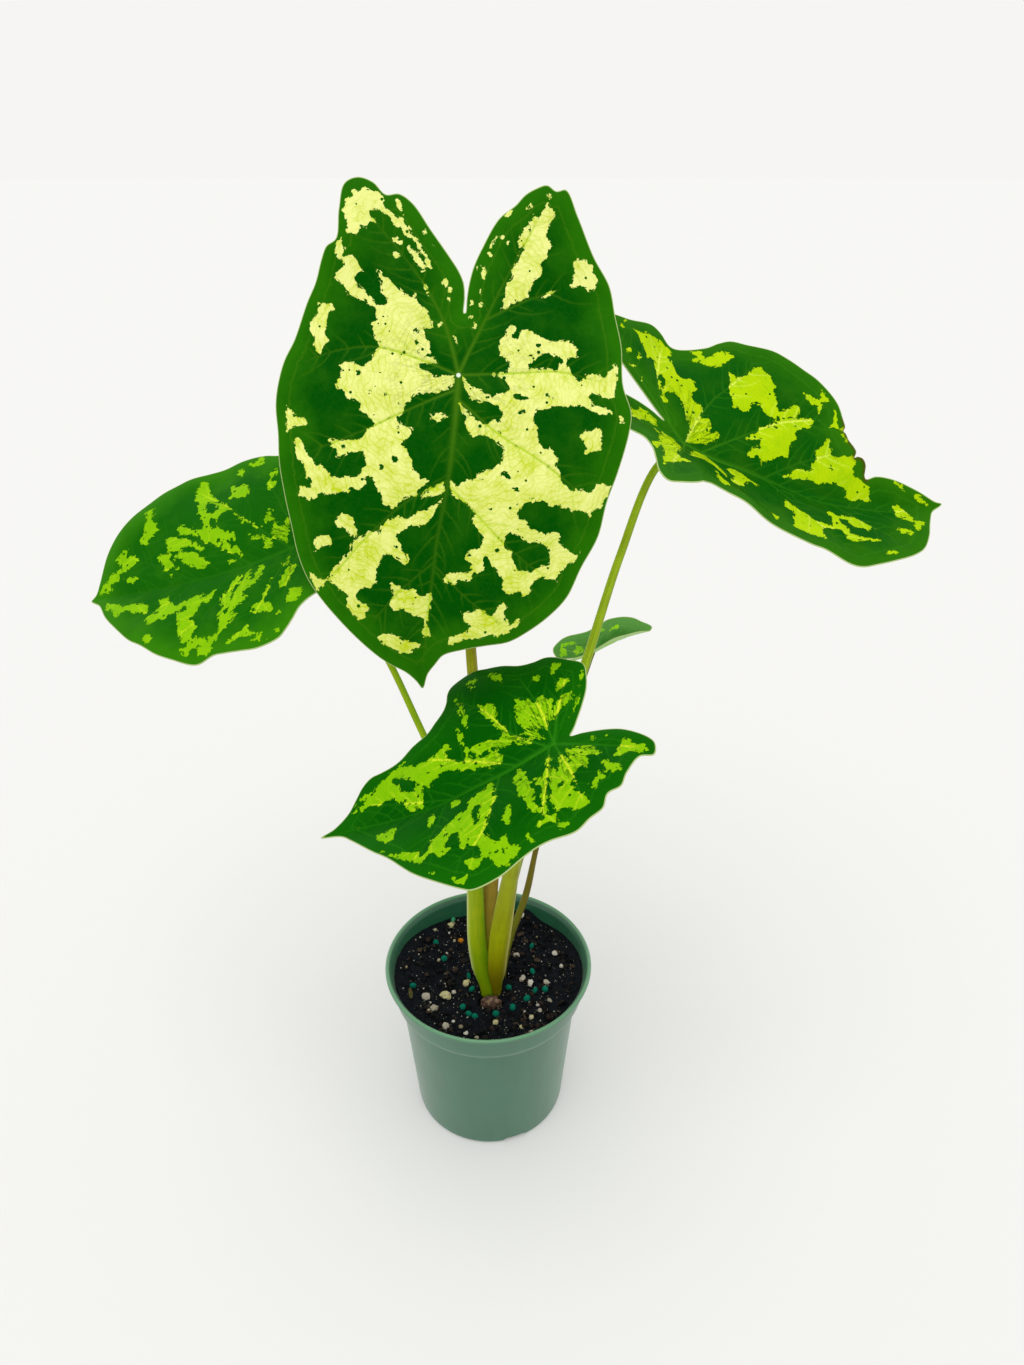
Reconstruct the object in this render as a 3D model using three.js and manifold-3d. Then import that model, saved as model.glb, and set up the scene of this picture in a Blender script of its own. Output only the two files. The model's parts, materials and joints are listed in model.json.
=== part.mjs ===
// A caladium growing in a round nursery pot: five arrow-shaped leaves on long stalks that rise from one
// corm in potting soil.
// Millimetres, +Z up. The origin is the centre of the pot's flat base, and the tallest leaf faces -Y.

import * as THREE from "three";
import { mergeVertices } from "three/addons/utils/BufferGeometryUtils.js";
import Module from "manifold-3d";

const wasm = await Module();
wasm.setup();

// Driving dimensions of the pot
const POT_HEIGHT = 89;
const POT_SEGMENTS = 40;
const DRAIN_WIDTH = 12;
const DRAIN_HEIGHT = 3;
const DRAIN_ANGLES = [-70, 20, 110, 200];

// Half sections of the pot, each point a radius and a height: the outside from the base up to the rim,
// and the inside from the rim down to the floor.
const POT_OUTSIDE = [
  [0, 0], [36.3, 0], [37.3, 0.6], [38.2, 1.5], [43.9, 70], [44.6, 71.6], [46.2, 72.8], [47.3, 75],
  [48.5, 86], [49, 86.6], [50.4, 86.7], [51, 87.3], [51, 88.2], [50.2, POT_HEIGHT],
];
const POT_INSIDE = [
  [49.3, POT_HEIGHT], [48.4, 88.4], [47.1, 86.5], [46, 76], [45.4, 74.8], [43.6, 73], [42.6, 70.6],
  [36.8, 3], [35.4, 1.6], [0, 1.6],
];

// Driving dimensions of what fills the pot
const FIT_GAP = 0.3;
const SOIL_LEVEL = 77.6;
const SOIL_BOTTOM = 1.9;
const SOIL_RINGS = [0.3, 0.55, 0.75, 0.9, 1];
const PRILL_RADIUS = 1.6;
const CORM = { centre: [1.5, -8, 60], radii: [12, 11, 9.2] };
const SCAR_BUD = { x: 1.3, y: -16.8, width: 5.2, depth: 2.8, top: 80.4 };

// Slow-release fertiliser prills that lie on the soil, each an X and a Y.
const PRILLS = [
  [-28, 21], [-23, 10], [-37, -10], [-12, -21], [-9, -25], [-6, -26.5], [-10, -1], [-8, -10], [10, -9],
  [12, -21], [22, 19], [22, 1], [23, -11], [19, -16], [28, -11], [4, -25], [-20, 39], [-15, 23],
];

// Larger grains of perlite, each an X, a Y and a radius.
const PERLITE = [
  [-30, -16, 2.2], [-26, -23, 2.6], [-21, -15, 3], [-11, -6, 2.2], [14, 13, 1.9], [17, -3, 2.2],
  [20.5, -6, 2.1], [29, -7, 2], [21, -28, 1.8], [30, -18, 1.4], [16, -33, 1.3], [-20, -33, 2.1],
  [-10, -36, 1.3], [17, 38, 2], [-21, 35, 2], [34, 12, 1.8], [25, -24, 1.5], [4, -30, 1.7],
];
const SMALL_GRAINS = 14;

// Driving dimensions of the leaves
const BLADE_THICKNESS = 0.8;
const BLADE_RINGS = [0.26, 0.5, 0.7, 0.87, 1];
const RIB_SIDES = 4;
const RIB_STEP = 15;
const STALK_SIDES = 10;
const STALK_STATIONS = 18;

// Each leaf is drawn flat about the point where its stalk joins it: a runs along the midrib to the tip,
// b runs across, both in millimetres. The flat shape is then bent along the midrib, folded up like a
// shallow V, curled at the sides and waved near its margin.
//   attach            where the stalk joins the blade
//   heading rise roll direction of the midrib and turn about it, in degrees
//   bend lobeBend     bending of the midrib before and behind the stalk, in radians a millimetre
//   fold curl         slope of each side at the midrib, and its change a millimetre, [b < 0, b > 0]
//   sweep twist       sideways sweep and turning of the sides along the midrib
//   waves             soft swellings and hollows: a, b, radius and height
//   ribs              raised veins on the underside: radius at the root, then the points they pass
const LEAVES = {
  tall: {
    attach: [-7.3, 0, 369.9], heading: -102, rise: -59.6, roll: -8, bend: 0.0033, lobeBend: -0.003,
    fold: [0.1, 0.1], curl: [-0.004, -0.004], sweep: 0, twist: 0,
    waves: [[-45, 46, 15, 2.5], [60, -46, 18, -3], [45, 52, 17, 2.5], [-30, -48, 15, -2]],
    outline: [
      [-22, 1.5], [-31, 2.5], [-40, 7], [-49, 14.5], [-57.5, 21.5], [-60.5, 26.5], [-60, 31], [-63.5, 36],
      [-64.5, 42], [-62, 46.5], [-53, 48], [-41, 47.5], [-36, 52], [-28, 54], [-21, 57], [-7.5, 60.5],
      [0, 63.5], [9, 65], [16.5, 65], [26.5, 63], [36, 61.5], [47, 58.5], [57.5, 55.5], [68.5, 52.5],
      [77, 48.5], [84, 43], [91, 36], [98, 28], [103, 20], [105, 15.5], [107, 9.5], [113.5, 4], [103, 2],
      [99, -2.5], [96, -10.5], [93.5, -18], [91.5, -26.5], [87, -32.5], [80.5, -39.5], [73.5, -45],
      [63, -48.5], [52, -54], [39.5, -56.5], [28.5, -60], [14.5, -62.5], [7.5, -62.5], [-2, -58.5],
      [-15.5, -56.5], [-26, -54], [-36, -51], [-45, -44], [-57.5, -36.5], [-65.5, -30.5], [-65.5, -23],
      [-62, -17.5], [-54, -9.5], [-44.5, -4], [-33, -1], [-22, -0.5],
    ],
    ribs: [
      [1.7, [0, 0], [16, -0.5], [38, 0], [58, 2], [80, 3], [106, 4]],
      [1.2, [0, 0], [-6, 2], [-18, 7], [-30, 15], [-42, 26], [-52, 37]],
      [1.2, [0, 0], [-6, -2], [-20, -7.5], [-36, -14], [-56, -23]],
      [0.8, [-20, -7.5], [-27, -20], [-33, -33]],
      [0.9, [0, 0], [-4, 14], [-7, 30], [-5, 43], [0, 56]],
      [0.9, [0, 0], [-2, -20], [-4, -36], [-2, -50]],
      [0.9, [5, 0], [15, 18], [24, 34], [32, 50]],
      [0.9, [8, 0], [20, -17], [28, -33], [37, -47]],
      [0.9, [37, 0], [47, 15], [62, 29], [78, 41]],
      [0.9, [39, 0], [48, -11], [59, -24], [68, -38]],
      [0.7, [66, 2], [78, 14], [91, 24]],
      [0.7, [68, 2], [78, -10], [87, -24]],
    ],
  },
  left: {
    attach: [-70.9, 8, 304.1], heading: 194, rise: -19, roll: -20, bend: 0.002, lobeBend: -0.002,
    fold: [0.18, 0.22], curl: [-0.005, -0.005], sweep: 0.0034, twist: 0,
    waves: [[25, 56, 16, -2.5], [50, -38, 13, -2.5], [66, 52, 14, 2]],
    outline: [
      [93, 28.5], [90, 30], [87, 34], [80.5, 44.5], [75, 50], [64.5, 57], [58, 60.5], [50.5, 64.5],
      [43.5, 66], [37.5, 67], [29, 65.5], [22, 64], [14.5, 63.5], [8.5, 61.5], [3, 58.5], [-2, 54.5],
      [-11, 50], [-21, 45.5], [-31, 41], [-38, 34], [-39, 26], [-34, 17.5], [-26, 9.5], [-18, 3.5],
      [-13, 0], [-17, -4], [-24, -9.5], [-30, -17], [-31, -24], [-26, -30], [-18, -33], [-8, -33.5],
      [1, -33.5], [7.5, -36.5], [11.5, -41], [15, -44.5], [18.5, -47], [27, -47], [33, -44.5],
      [39.5, -41], [44.5, -38.5], [51.5, -38.5], [60.5, -31], [66, -25], [71.5, -16.5], [76, -10.5],
      [81, -0.5], [86, 11], [89, 21.5],
    ],
    ribs: [
      [1.5, [0, 0], [20, 0.5], [35, 3.5], [53, 9.5], [72, 18], [87, 26]],
      [1.1, [0, 0], [-12, 11], [-24, 25], [-32, 34]],
      [1.1, [0, 0], [-10, -9], [-22, -21]],
      [0.8, [0, 0], [3, 20], [5, 38], [9, 54]],
      [0.8, [5, 0], [14, 15], [24, 36], [35, 55]],
      [0.8, [22, 1], [31, 14], [41, 26], [56, 40]],
      [0.7, [46, 7], [58, 22], [70, 36]],
      [0.8, [0, 0], [8, -16], [14, -30], [20, -41]],
      [0.8, [4, 0], [15, -16], [26, -31], [36, -37]],
      [0.8, [21, 1], [32, -10], [48, -19], [60, -22]],
      [0.7, [46, 7], [58, 0], [74, 2]],
    ],
  },
  right: {
    attach: [76.7, 10, 342.8], heading: 0, rise: -29, roll: 16, bend: -0.005, lobeBend: -0.002,
    fold: [0.38, 0.3], curl: [-0.002, -0.002], sweep: -0.0006, twist: -0.004, foldFade: 25,
    waves: [[20, 36, 9, 2.5], [-16, -42, 11, -2.5], [70, -20, 12, 2], [62, 40, 14, -2]],
    outline: [
      [105.5, -7], [96.5, -12], [86.5, -15], [74.5, -14.8], [72, -20], [67.5, -25], [64.5, -32.5],
      [59.5, -43.5], [50, -52.5], [43, -56.5], [35.5, -60.5], [27.5, -63.5], [15.5, -63.5], [8.5, -63],
      [3.5, -59.5], [-2, -53.5], [-9, -48.5], [-15.5, -46.5], [-22, -49.5], [-27, -50], [-36.5, -44.5],
      [-43.5, -41.5], [-49, -37], [-49, -31], [-42, -25], [-31.5, -18], [-23.5, -13], [-15.5, -8],
      [-10.5, -5], [-17, -6.3], [-24.5, -6.5], [-32, -5], [-37, -1], [-38.5, 5], [-36, 11], [-31, 16],
      [-25, 18.5], [-19.5, 18.5], [-16.5, 24], [-15.5, 32.5], [-14.5, 43], [-11.5, 48.5], [-7, 47.5],
      [-1, 45.5], [6, 38.5], [15.5, 39], [25, 39.5], [37, 38.5], [50, 36.5], [57, 35], [67, 38],
      [71, 37.5], [77, 34], [84.5, 29], [92, 23.5], [96, 19], [99.5, 11.5], [101.5, 3],
    ],
    ribs: [
      [1.5, [0, 0], [13, -0.5], [26, -2], [41, -1], [55, 3], [70, 1.5], [86, -0.5], [99, -5]],
      [1.1, [0, 0], [-12, -8], [-26, -19], [-42, -33]],
      [1, [0, 0], [-14, 2], [-25, 3.5], [-34, 6.5]],
      [0.8, [-8, -6], [-17, -19], [-19, -32], [-19, -43]],
      [0.8, [0, 0], [2, -12], [7, -28], [16, -44], [21, -56]],
      [0.8, [7, 0], [19, -13], [36, -28], [54, -35]],
      [0.8, [34, -1.5], [47, -13], [60, -20]],
      [0.8, [0, 0], [-3, 14], [-8, 28], [-10, 41]],
      [0.8, [10, -0.5], [18, 12], [26, 27]],
      [0.8, [36, -1.5], [48, 13], [60, 24], [70, 32]],
      [0.7, [62, 2], [76, 11], [88, 17]],
    ],
  },
  front: {
    attach: [27, -55, 250.1], heading: 202, rise: -26, roll: -1, bend: 0.0013, lobeBend: -0.002,
    fold: [0.25, 0.28], curl: [-0.006, -0.006], sweep: 0.004, twist: 0,
    waves: [[55, 38, 11, -2.5], [-8, -40, 9, 2], [14, -45, 10, -2], [-4, 46, 14, 2], [40, -44, 12, -2]],
    outline: [
      [94, 36.5], [87, 34.5], [79, 35], [73.5, 38], [69, 41], [64.5, 42.5], [60.5, 42], [51, 41],
      [44.5, 41.5], [37, 41.5], [32, 44], [27, 47], [24, 50.5], [21.5, 55.5], [19, 58], [14, 59],
      [7.5, 58], [2.5, 53], [-2.5, 48], [-8, 42], [-13.5, 39.5], [-18, 38.5], [-21, 36], [-24.5, 30.5],
      [-28, 23.5], [-26, 18], [-22.5, 12.5], [-17.5, 7.5], [-11, 2], [-6.5, -2], [-10.5, -5.5],
      [-18, -13.5], [-22, -19.5], [-26, -31], [-26, -35.5], [-23, -39.5], [-19, -36.5], [-12, -40.5],
      [-7.5, -44], [-2.5, -43], [1.5, -46], [7, -45.5], [12.5, -46], [21, -43.5], [31, -42.5],
      [42.5, -42.5], [51, -41], [54, -38], [62.5, -25], [66.5, -17.5], [72, -3], [76.5, 6.5],
      [82.5, 21], [86.5, 29.5],
    ],
    ribs: [
      [1.5, [0, 0], [21, 2], [33, 5], [46, 8], [60, 14.5], [73, 22.5], [86, 31]],
      [1.1, [0, 0], [-10, 13], [-22, 26]],
      [1.1, [0, 0], [-9, -14], [-21, -32]],
      [0.8, [0, 0], [-4, 18], [-5, 38]],
      [0.8, [2, 0], [10, 14], [14, 34], [20, 47]],
      [0.8, [15, 1], [29, 16], [43, 31]],
      [0.7, [42, 7], [56, 18], [70, 31]],
      [0.8, [0, 0], [2, -22], [5, -38]],
      [0.8, [2, 0], [12, -21], [22, -37]],
      [0.8, [23, 2], [32, -14], [43, -25], [54, -27]],
      [0.7, [44, 7.5], [54, -6], [64, -13]],
    ],
  },
  back: {
    attach: [52.2, 80, 219.4], heading: 20, rise: 24, roll: 4, bend: 0.014, lobeBend: -0.025,
    fold: [0.75, 0.75], curl: [-0.01, -0.01], sweep: 0, twist: 0,
    waves: [[16, -14, 6, -1], [10, 13, 6, 1]],
    outline: [
      [35, -2], [30, -6], [27, -8.5], [20, -11.5], [15, -12.5], [11, -11.5], [4, -10.5], [-2, -12],
      [-8, -13], [-14, -12], [-20, -8], [-19, -3.5], [-6, 0], [-19, 3.5], [-21, 7], [-16, 11.5],
      [-8, 13.5], [0, 12.5], [7, 12], [15, 9.5], [21, 7], [28, 3],
    ],
    ribs: [
      [0.9, [0, 0], [12, 0], [30, -1.5]],
      [0.6, [0, 0], [-8, 4], [-15, 7]],
      [0.6, [0, 0], [-8, -4], [-14, -7.5]],
      [0.5, [2, 0], [9, 5], [15, 7.5]],
      [0.5, [2, 0], [9, -6], [16, -10]],
    ],
  },
};

// Each stalk stands in the soil and widens to a sheath low down. Its points are X, Y, Z, half the width
// seen from the front, and half the depth. It ends flat against the middle of its blade's underside.
const STALKS = {
  tall: [
    [-0.6, -5, 70, 2.1, 2.1], [-0.6, -5, 80, 2.2, 2.1], [0, -4.9, 98, 2.8, 2.2], [0.4, -4.6, 120, 3.2, 2.3],
    [1.7, -4, 148, 3.8, 2.4], [-0.5, -2.5, 190, 2.7, 2.5], [-5, 0, 256.2, 2.25, 2.25],
    [-6.7, 3.6, 310, 1.9, 1.9], [-7.2, 6, 348, 1.7, 1.7],
  ],
  left: [
    [-1.1, -10, 70, 2.2, 2.2], [-1.1, -10, 79, 2.3, 2.2], [-3.8, -10, 95, 3.1, 2.3],
    [-4.9, -9.6, 110, 3.5, 2.4], [-5, -8.4, 140, 3.4, 2.3], [-6, -7, 162, 3, 2.2],
    [-13.5, -3.5, 190, 1.9, 1.8], [-25.9, 1, 217.6, 1.5, 1.5], [-40, 4, 254.1, 1.4, 1.4],
    [-54, 5, 283, 1.3, 1.3],
  ],
  right: [
    [4, -5.3, 70, 2.1, 2.1], [4, -5.3, 80, 2.1, 2.1], [5.9, -5.3, 98, 2.4, 2.1], [8.2, -5, 120, 2.6, 2.1],
    [14, -3.4, 153, 2.6, 2.1], [27.2, -0.5, 202, 2.3, 2.2], [42, 2, 252.8, 2, 2],
    [54.5, 6, 299.4, 1.65, 1.65], [66.5, 8, 334.2, 1.5, 1.5],
  ],
  front: [
    [3.6, -10.5, 70, 2.2, 2.1], [3.6, -10.6, 79, 2.2, 2.1], [5.5, -15.5, 98, 2.9, 2.3],
    [6.8, -21, 122, 3.9, 2.5], [9.4, -31, 158, 3.8, 2.5], [14.5, -42, 195, 2.7, 2.2],
    [21.5, -50.5, 228, 1.9, 1.9],
  ],
  back: [
    [7, 0.2, 70, 1.5, 1.5], [7.4, 1.2, 80, 1.6, 1.6], [10.4, 8, 93.8, 1.8, 1.7],
    [18.6, 20, 112.6, 1.75, 1.6], [23.7, 30, 133.2, 1.35, 1.35], [32.6, 46, 165, 1.2, 1.2],
    [43, 64, 196, 1.1, 1.1],
  ],
};

const radians = (degrees) => (degrees * Math.PI) / 180;

// A repeatable draw between 0 and 1.
function makeRandom(seed) {
  let state = seed;
  return () => {
    state = (state * 1664525 + 1013904223) % 4294967296;
    return state / 4294967296;
  };
}

function solidFromTriangles(points, triangles) {
  const vertProperties = new Float32Array(points.flatMap((p) => [p.x, p.y, p.z]));
  const triVerts = new Uint32Array(triangles.flat());
  return new wasm.Manifold(new wasm.Mesh({ numProp: 3, vertProperties, triVerts }));
}

function solidFromGeometry(geometry) {
  const bare = new THREE.BufferGeometry();
  bare.setAttribute("position", geometry.getAttribute("position"));
  bare.setIndex(geometry.index);
  const merged = mergeVertices(bare, 1e-3);
  const vertProperties = new Float32Array(merged.getAttribute("position").array);
  const triVerts = new Uint32Array(merged.index.array);
  return new wasm.Manifold(new wasm.Mesh({ numProp: 3, vertProperties, triVerts }));
}

function meshFromSolid(name, solid, material) {
  const made = solid.getMesh();
  const geometry = new THREE.BufferGeometry();
  const position = new Float32Array(made.numVert * 3);
  for (let i = 0; i < made.numVert; i++) {
    position.set(made.vertProperties.subarray(i * made.numProp, i * made.numProp + 3), i * 3);
  }
  geometry.setAttribute("position", new THREE.BufferAttribute(position, 3));
  geometry.setIndex(new THREE.BufferAttribute(made.triVerts, 1));
  geometry.computeVertexNormals();
  const mesh = new THREE.Mesh(geometry, material);
  mesh.name = name;
  return mesh;
}

// A closed tube through elliptical sections. Each section has a centre, two unit axes across the tube
// and the half sizes along them.
function loft(sections, sides) {
  const points = [];
  const triangles = [];
  for (const { centre, across, up, width, height } of sections) {
    for (let i = 0; i < sides; i++) {
      const turn = (2 * Math.PI * (i + 0.5)) / sides;
      points.push(
        centre
          .clone()
          .addScaledVector(across, width * Math.cos(turn))
          .addScaledVector(up, height * Math.sin(turn)),
      );
    }
  }
  const last = (sections.length - 1) * sides;
  for (let k = 0; k < last; k += sides) {
    for (let i = 0; i < sides; i++) {
      const j = (i + 1) % sides;
      triangles.push([k + i, k + j, k + sides + j], [k + i, k + sides + j, k + sides + i]);
    }
  }
  for (let i = 1; i < sides - 1; i++) {
    triangles.push([0, i + 1, i], [last, last + i, last + i + 1]);
  }
  return solidFromTriangles(points, triangles);
}

// Radius of the pot's inner wall at a height.
function innerRadius(height) {
  for (let i = 1; i < POT_INSIDE.length; i++) {
    const [r0, z0] = POT_INSIDE[i - 1];
    const [r1, z1] = POT_INSIDE[i];
    if (height <= z0 && height >= z1) {
      return r1 + ((r0 - r1) * (height - z1)) / (z0 - z1 || 1);
    }
  }
  return POT_INSIDE[0][0];
}

function makePot() {
  const section = [...POT_OUTSIDE, ...POT_INSIDE].map(([r, z]) => new THREE.Vector2(r, z));
  const turned = new THREE.LatheGeometry(section, POT_SEGMENTS);
  turned.rotateX(Math.PI / 2);
  let pot = solidFromGeometry(turned);
  for (const angle of DRAIN_ANGLES) {
    const notch = new THREE.BoxGeometry(10, DRAIN_WIDTH, 2 * DRAIN_HEIGHT);
    notch.translate(38, 0, 0);
    notch.rotateZ(radians(angle));
    pot = pot.subtract(solidFromGeometry(notch));
  }
  return pot;
}

// Height of the soil: nearly level in the middle, banked up at the pot's sides and low behind the stalks.
function soilHeight(x, y) {
  const reach = Math.min(1, Math.hypot(x, y) / 45.5);
  const angle = Math.atan2(x, y);
  const heap = 5.5 * Math.exp(-(((angle - radians(24)) / 0.16) ** 2));
  const wall = 79.4 - 3.1 * Math.cos(2 * angle) + heap;
  const ripple = 0.5 * Math.sin(0.33 * x + 0.9) * Math.cos(0.29 * y) * (1 - reach);
  return SOIL_LEVEL + (wall - SOIL_LEVEL) * reach ** 3 + ripple;
}

function makeSoilBody() {
  const points = [new THREE.Vector3(0, 0, soilHeight(0, 0))];
  const rings = [];
  const addRing = (pointAt) => {
    rings.push(points.length);
    for (let i = 0; i < POT_SEGMENTS; i++) {
      points.push(pointAt((2 * Math.PI * i) / POT_SEGMENTS));
    }
  };
  for (const share of SOIL_RINGS) {
    addRing((angle) => {
      const edgeHeight = soilHeight(46 * Math.cos(angle), 46 * Math.sin(angle));
      const radius = (innerRadius(edgeHeight) - FIT_GAP) * share;
      const x = radius * Math.cos(angle);
      const y = radius * Math.sin(angle);
      return new THREE.Vector3(x, y, share === 1 ? edgeHeight : soilHeight(x, y));
    });
  }
  for (const height of [76, 74.8, 73, 70.6, 3.1, SOIL_BOTTOM]) {
    const radius = innerRadius(height) - FIT_GAP;
    addRing((angle) => new THREE.Vector3(radius * Math.cos(angle), radius * Math.sin(angle), height));
  }
  const triangles = [];
  for (let i = 0; i < POT_SEGMENTS; i++) {
    const j = (i + 1) % POT_SEGMENTS;
    triangles.push([0, rings[0] + i, rings[0] + j]);
    for (let k = 1; k < rings.length; k++) {
      const [inner, outer] = [rings[k - 1], rings[k]];
      triangles.push([inner + i, outer + i, outer + j], [inner + i, outer + j, inner + j]);
    }
    const last = rings[rings.length - 1];
    triangles.push([last + i, points.length, last + j]);
  }
  points.push(new THREE.Vector3(0, 0, SOIL_BOTTOM));
  return solidFromTriangles(points, triangles);
}

// A grain sunk a third of its height into the soil. Small ones have fewer faces.
function makeGrain(x, y, radius, random) {
  const grain = radius < 1.3 ? new THREE.OctahedronGeometry(radius) : new THREE.IcosahedronGeometry(radius);
  grain.scale(1, 0.8 + 0.3 * random(), 0.85);
  grain.rotateZ(2 * Math.PI * random());
  grain.translate(x, y, soilHeight(x, y) + 0.3 * radius);
  return solidFromGeometry(grain);
}

function makeSoil(roots) {
  const random = makeRandom(7);
  let soil = makeSoilBody();
  for (const [x, y] of PRILLS) {
    soil = soil.add(makeGrain(x, y, PRILL_RADIUS, random));
  }
  for (const [x, y, radius] of PERLITE) {
    soil = soil.add(makeGrain(x, y, radius, random));
  }
  for (let i = 0; i < SMALL_GRAINS; i++) {
    const reach = 12 + 30 * Math.sqrt(random());
    const angle = 2 * Math.PI * random();
    const radius = 0.85 + 0.4 * random();
    soil = soil.add(makeGrain(reach * Math.cos(angle), reach * Math.sin(angle), radius, random));
  }
  for (const root of roots) {
    soil = soil.subtract(root);
  }
  return soil;
}

// The corm lies under the soil, with the bud of an old leaf scar that comes up in front of the stalks.
function makeCorm(growth) {
  const [rx, ry, rz] = CORM.radii.map((radius) => radius + growth);
  const body = new THREE.SphereGeometry(1, 16, 10);
  body.rotateX(Math.PI / 2);
  body.scale(rx, ry, rz);
  body.translate(...CORM.centre);
  const { x, y, width, depth, top } = SCAR_BUD;
  // Heights of the bud's sections, how far each leans back, and its share of the full size.
  const rows = [
    [60, 3, 0.7], [68, 0.6, 0.85], [75, 0, 1], [top - 2, 0, 0.95], [top - 0.6, 0, 0.7], [top + growth, 0, 0.3],
  ];
  const sections = rows.map(([height, lean, share]) => ({
    centre: new THREE.Vector3(x, y + lean, height),
    across: new THREE.Vector3(1, 0, 0),
    up: new THREE.Vector3(0, 1, 0),
    width: width * share + growth,
    height: depth * share + growth,
  }));
  return solidFromGeometry(body).add(loft(sections, 10));
}

// The leaf's own axes: along the midrib, out of the upper face, and towards b > 0.
function leafAxes(leaf) {
  const heading = radians(leaf.heading);
  const rise = radians(leaf.rise);
  const roll = radians(leaf.roll);
  const along = new THREE.Vector3(
    Math.cos(rise) * Math.cos(heading),
    Math.cos(rise) * Math.sin(heading),
    Math.sin(rise),
  );
  const upright = new THREE.Vector3(
    -Math.sin(rise) * Math.cos(heading),
    -Math.sin(rise) * Math.sin(heading),
    Math.cos(rise),
  );
  const level = along.clone().cross(upright);
  const normal = upright.clone().multiplyScalar(Math.cos(roll)).addScaledVector(level, Math.sin(roll));
  const side = level.multiplyScalar(Math.cos(roll)).addScaledVector(upright, -Math.sin(roll));
  return { along, normal, side };
}

// The point of the bent leaf that the flat point a, b goes to.
function leafPoint(leaf, axes, a, b) {
  const bend = a > 0 ? leaf.bend : leaf.lobeBend;
  const turned = bend * a;
  const normal = axes.along
    .clone()
    .multiplyScalar(Math.sin(turned))
    .addScaledVector(axes.normal, Math.cos(turned));
  const shift = a > 0 ? leaf.sweep * a * a : 0;
  const across = b - shift;
  const half = across >= 0 ? 1 : 0;
  const fade = leaf.foldFade && a < 0 && across > 0 ? Math.exp(a / leaf.foldFade) : 1;
  const slope = leaf.fold[half] * fade;
  const curl = leaf.curl[half];
  const end = slope + curl * Math.abs(across);
  const out = (Math.sin(end) - Math.sin(slope)) / curl;
  let lift = (Math.cos(slope) - Math.cos(end)) / curl;
  for (const [waveA, waveB, radius, height] of leaf.waves) {
    lift += height * Math.exp(-((a - waveA) ** 2 + (b - waveB) ** 2) / radius ** 2);
  }
  const twist = leaf.twist * (a > 0 ? a : 0.3 * a);
  const reach = Math.sign(across) * out;
  return new THREE.Vector3(...leaf.attach)
    .addScaledVector(axes.along, Math.sin(turned) / bend)
    .addScaledVector(axes.normal, -(1 - Math.cos(turned)) / bend)
    .addScaledVector(axes.side, shift + reach * Math.cos(twist) - lift * Math.sin(twist))
    .addScaledVector(normal, reach * Math.sin(twist) + lift * Math.cos(twist));
}

// The leaf's own normal at a flat point, taken over a step wide enough to round the fold at the midrib.
function leafNormal(leaf, axes, a, b) {
  const step = 1.2;
  const alongStep = leafPoint(leaf, axes, a + step, b).sub(leafPoint(leaf, axes, a - step, b));
  const sideStep = leafPoint(leaf, axes, a, b + step).sub(leafPoint(leaf, axes, a, b - step));
  return sideStep.cross(alongStep).normalize();
}

function makeBladeSheet(leaf, axes) {
  const winding = THREE.ShapeUtils.area(leaf.outline.map(([a, b]) => new THREE.Vector2(a, b)));
  const outline = winding > 0 ? [...leaf.outline].reverse() : leaf.outline;
  const count = outline.length;
  const flat = [[0, 0]];
  for (const share of BLADE_RINGS) {
    for (const [a, b] of outline) {
      flat.push([a * share, b * share]);
    }
  }
  const top = [];
  const bottom = [];
  for (const [a, b] of flat) {
    const point = leafPoint(leaf, axes, a, b);
    const normal = leafNormal(leaf, axes, a, b);
    top.push(point.clone().addScaledVector(normal, BLADE_THICKNESS / 2));
    bottom.push(point.clone().addScaledVector(normal, -BLADE_THICKNESS / 2));
  }
  const face = [];
  for (let i = 0; i < count; i++) {
    const j = (i + 1) % count;
    face.push([0, 1 + i, 1 + j]);
    for (let ring = 1; ring < BLADE_RINGS.length; ring++) {
      const inner = 1 + (ring - 1) * count;
      const outer = inner + count;
      face.push([inner + i, outer + i, outer + j], [inner + i, outer + j, inner + j]);
    }
  }
  const offset = top.length;
  const triangles = face.flatMap(([p, q, r]) => [[p, q, r], [p + offset, r + offset, q + offset]]);
  const edge = 1 + (BLADE_RINGS.length - 1) * count;
  for (let i = 0; i < count; i++) {
    const [p, q] = [edge + i, edge + ((i + 1) % count)];
    triangles.push([p, p + offset, q + offset], [p, q + offset, q]);
  }
  return solidFromTriangles([...top, ...bottom], triangles);
}

// A vein that stands out of the underside and thins towards the margin.
function makeRib(leaf, axes, [radius, ...path]) {
  const curve = new THREE.CatmullRomCurve3(path.map(([a, b]) => new THREE.Vector3(a, b, 0)));
  const count = Math.max(3, Math.round(curve.getLength() / RIB_STEP));
  const centres = curve.getSpacedPoints(count).map(({ x, y }) => [x, y]);
  const sections = centres.map(([a, b], i) => {
    const before = centres[Math.max(0, i - 1)];
    const after = centres[Math.min(centres.length - 1, i + 1)];
    const direction = leafPoint(leaf, axes, ...after).sub(leafPoint(leaf, axes, ...before)).normalize();
    const normal = leafNormal(leaf, axes, a, b);
    const across = direction.clone().cross(normal).normalize();
    const size = radius * (1 - 0.62 * (i / count));
    const centre = leafPoint(leaf, axes, a, b).addScaledVector(normal, -BLADE_THICKNESS * 0.4);
    return { centre, across, up: normal.negate(), width: size, height: size };
  });
  return loft(sections, RIB_SIDES);
}

function makeBlade(leaf) {
  const axes = leafAxes(leaf);
  let blade = makeBladeSheet(leaf, axes);
  for (const rib of leaf.ribs) {
    blade = blade.add(makeRib(leaf, axes, rib));
  }
  return blade;
}

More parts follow.
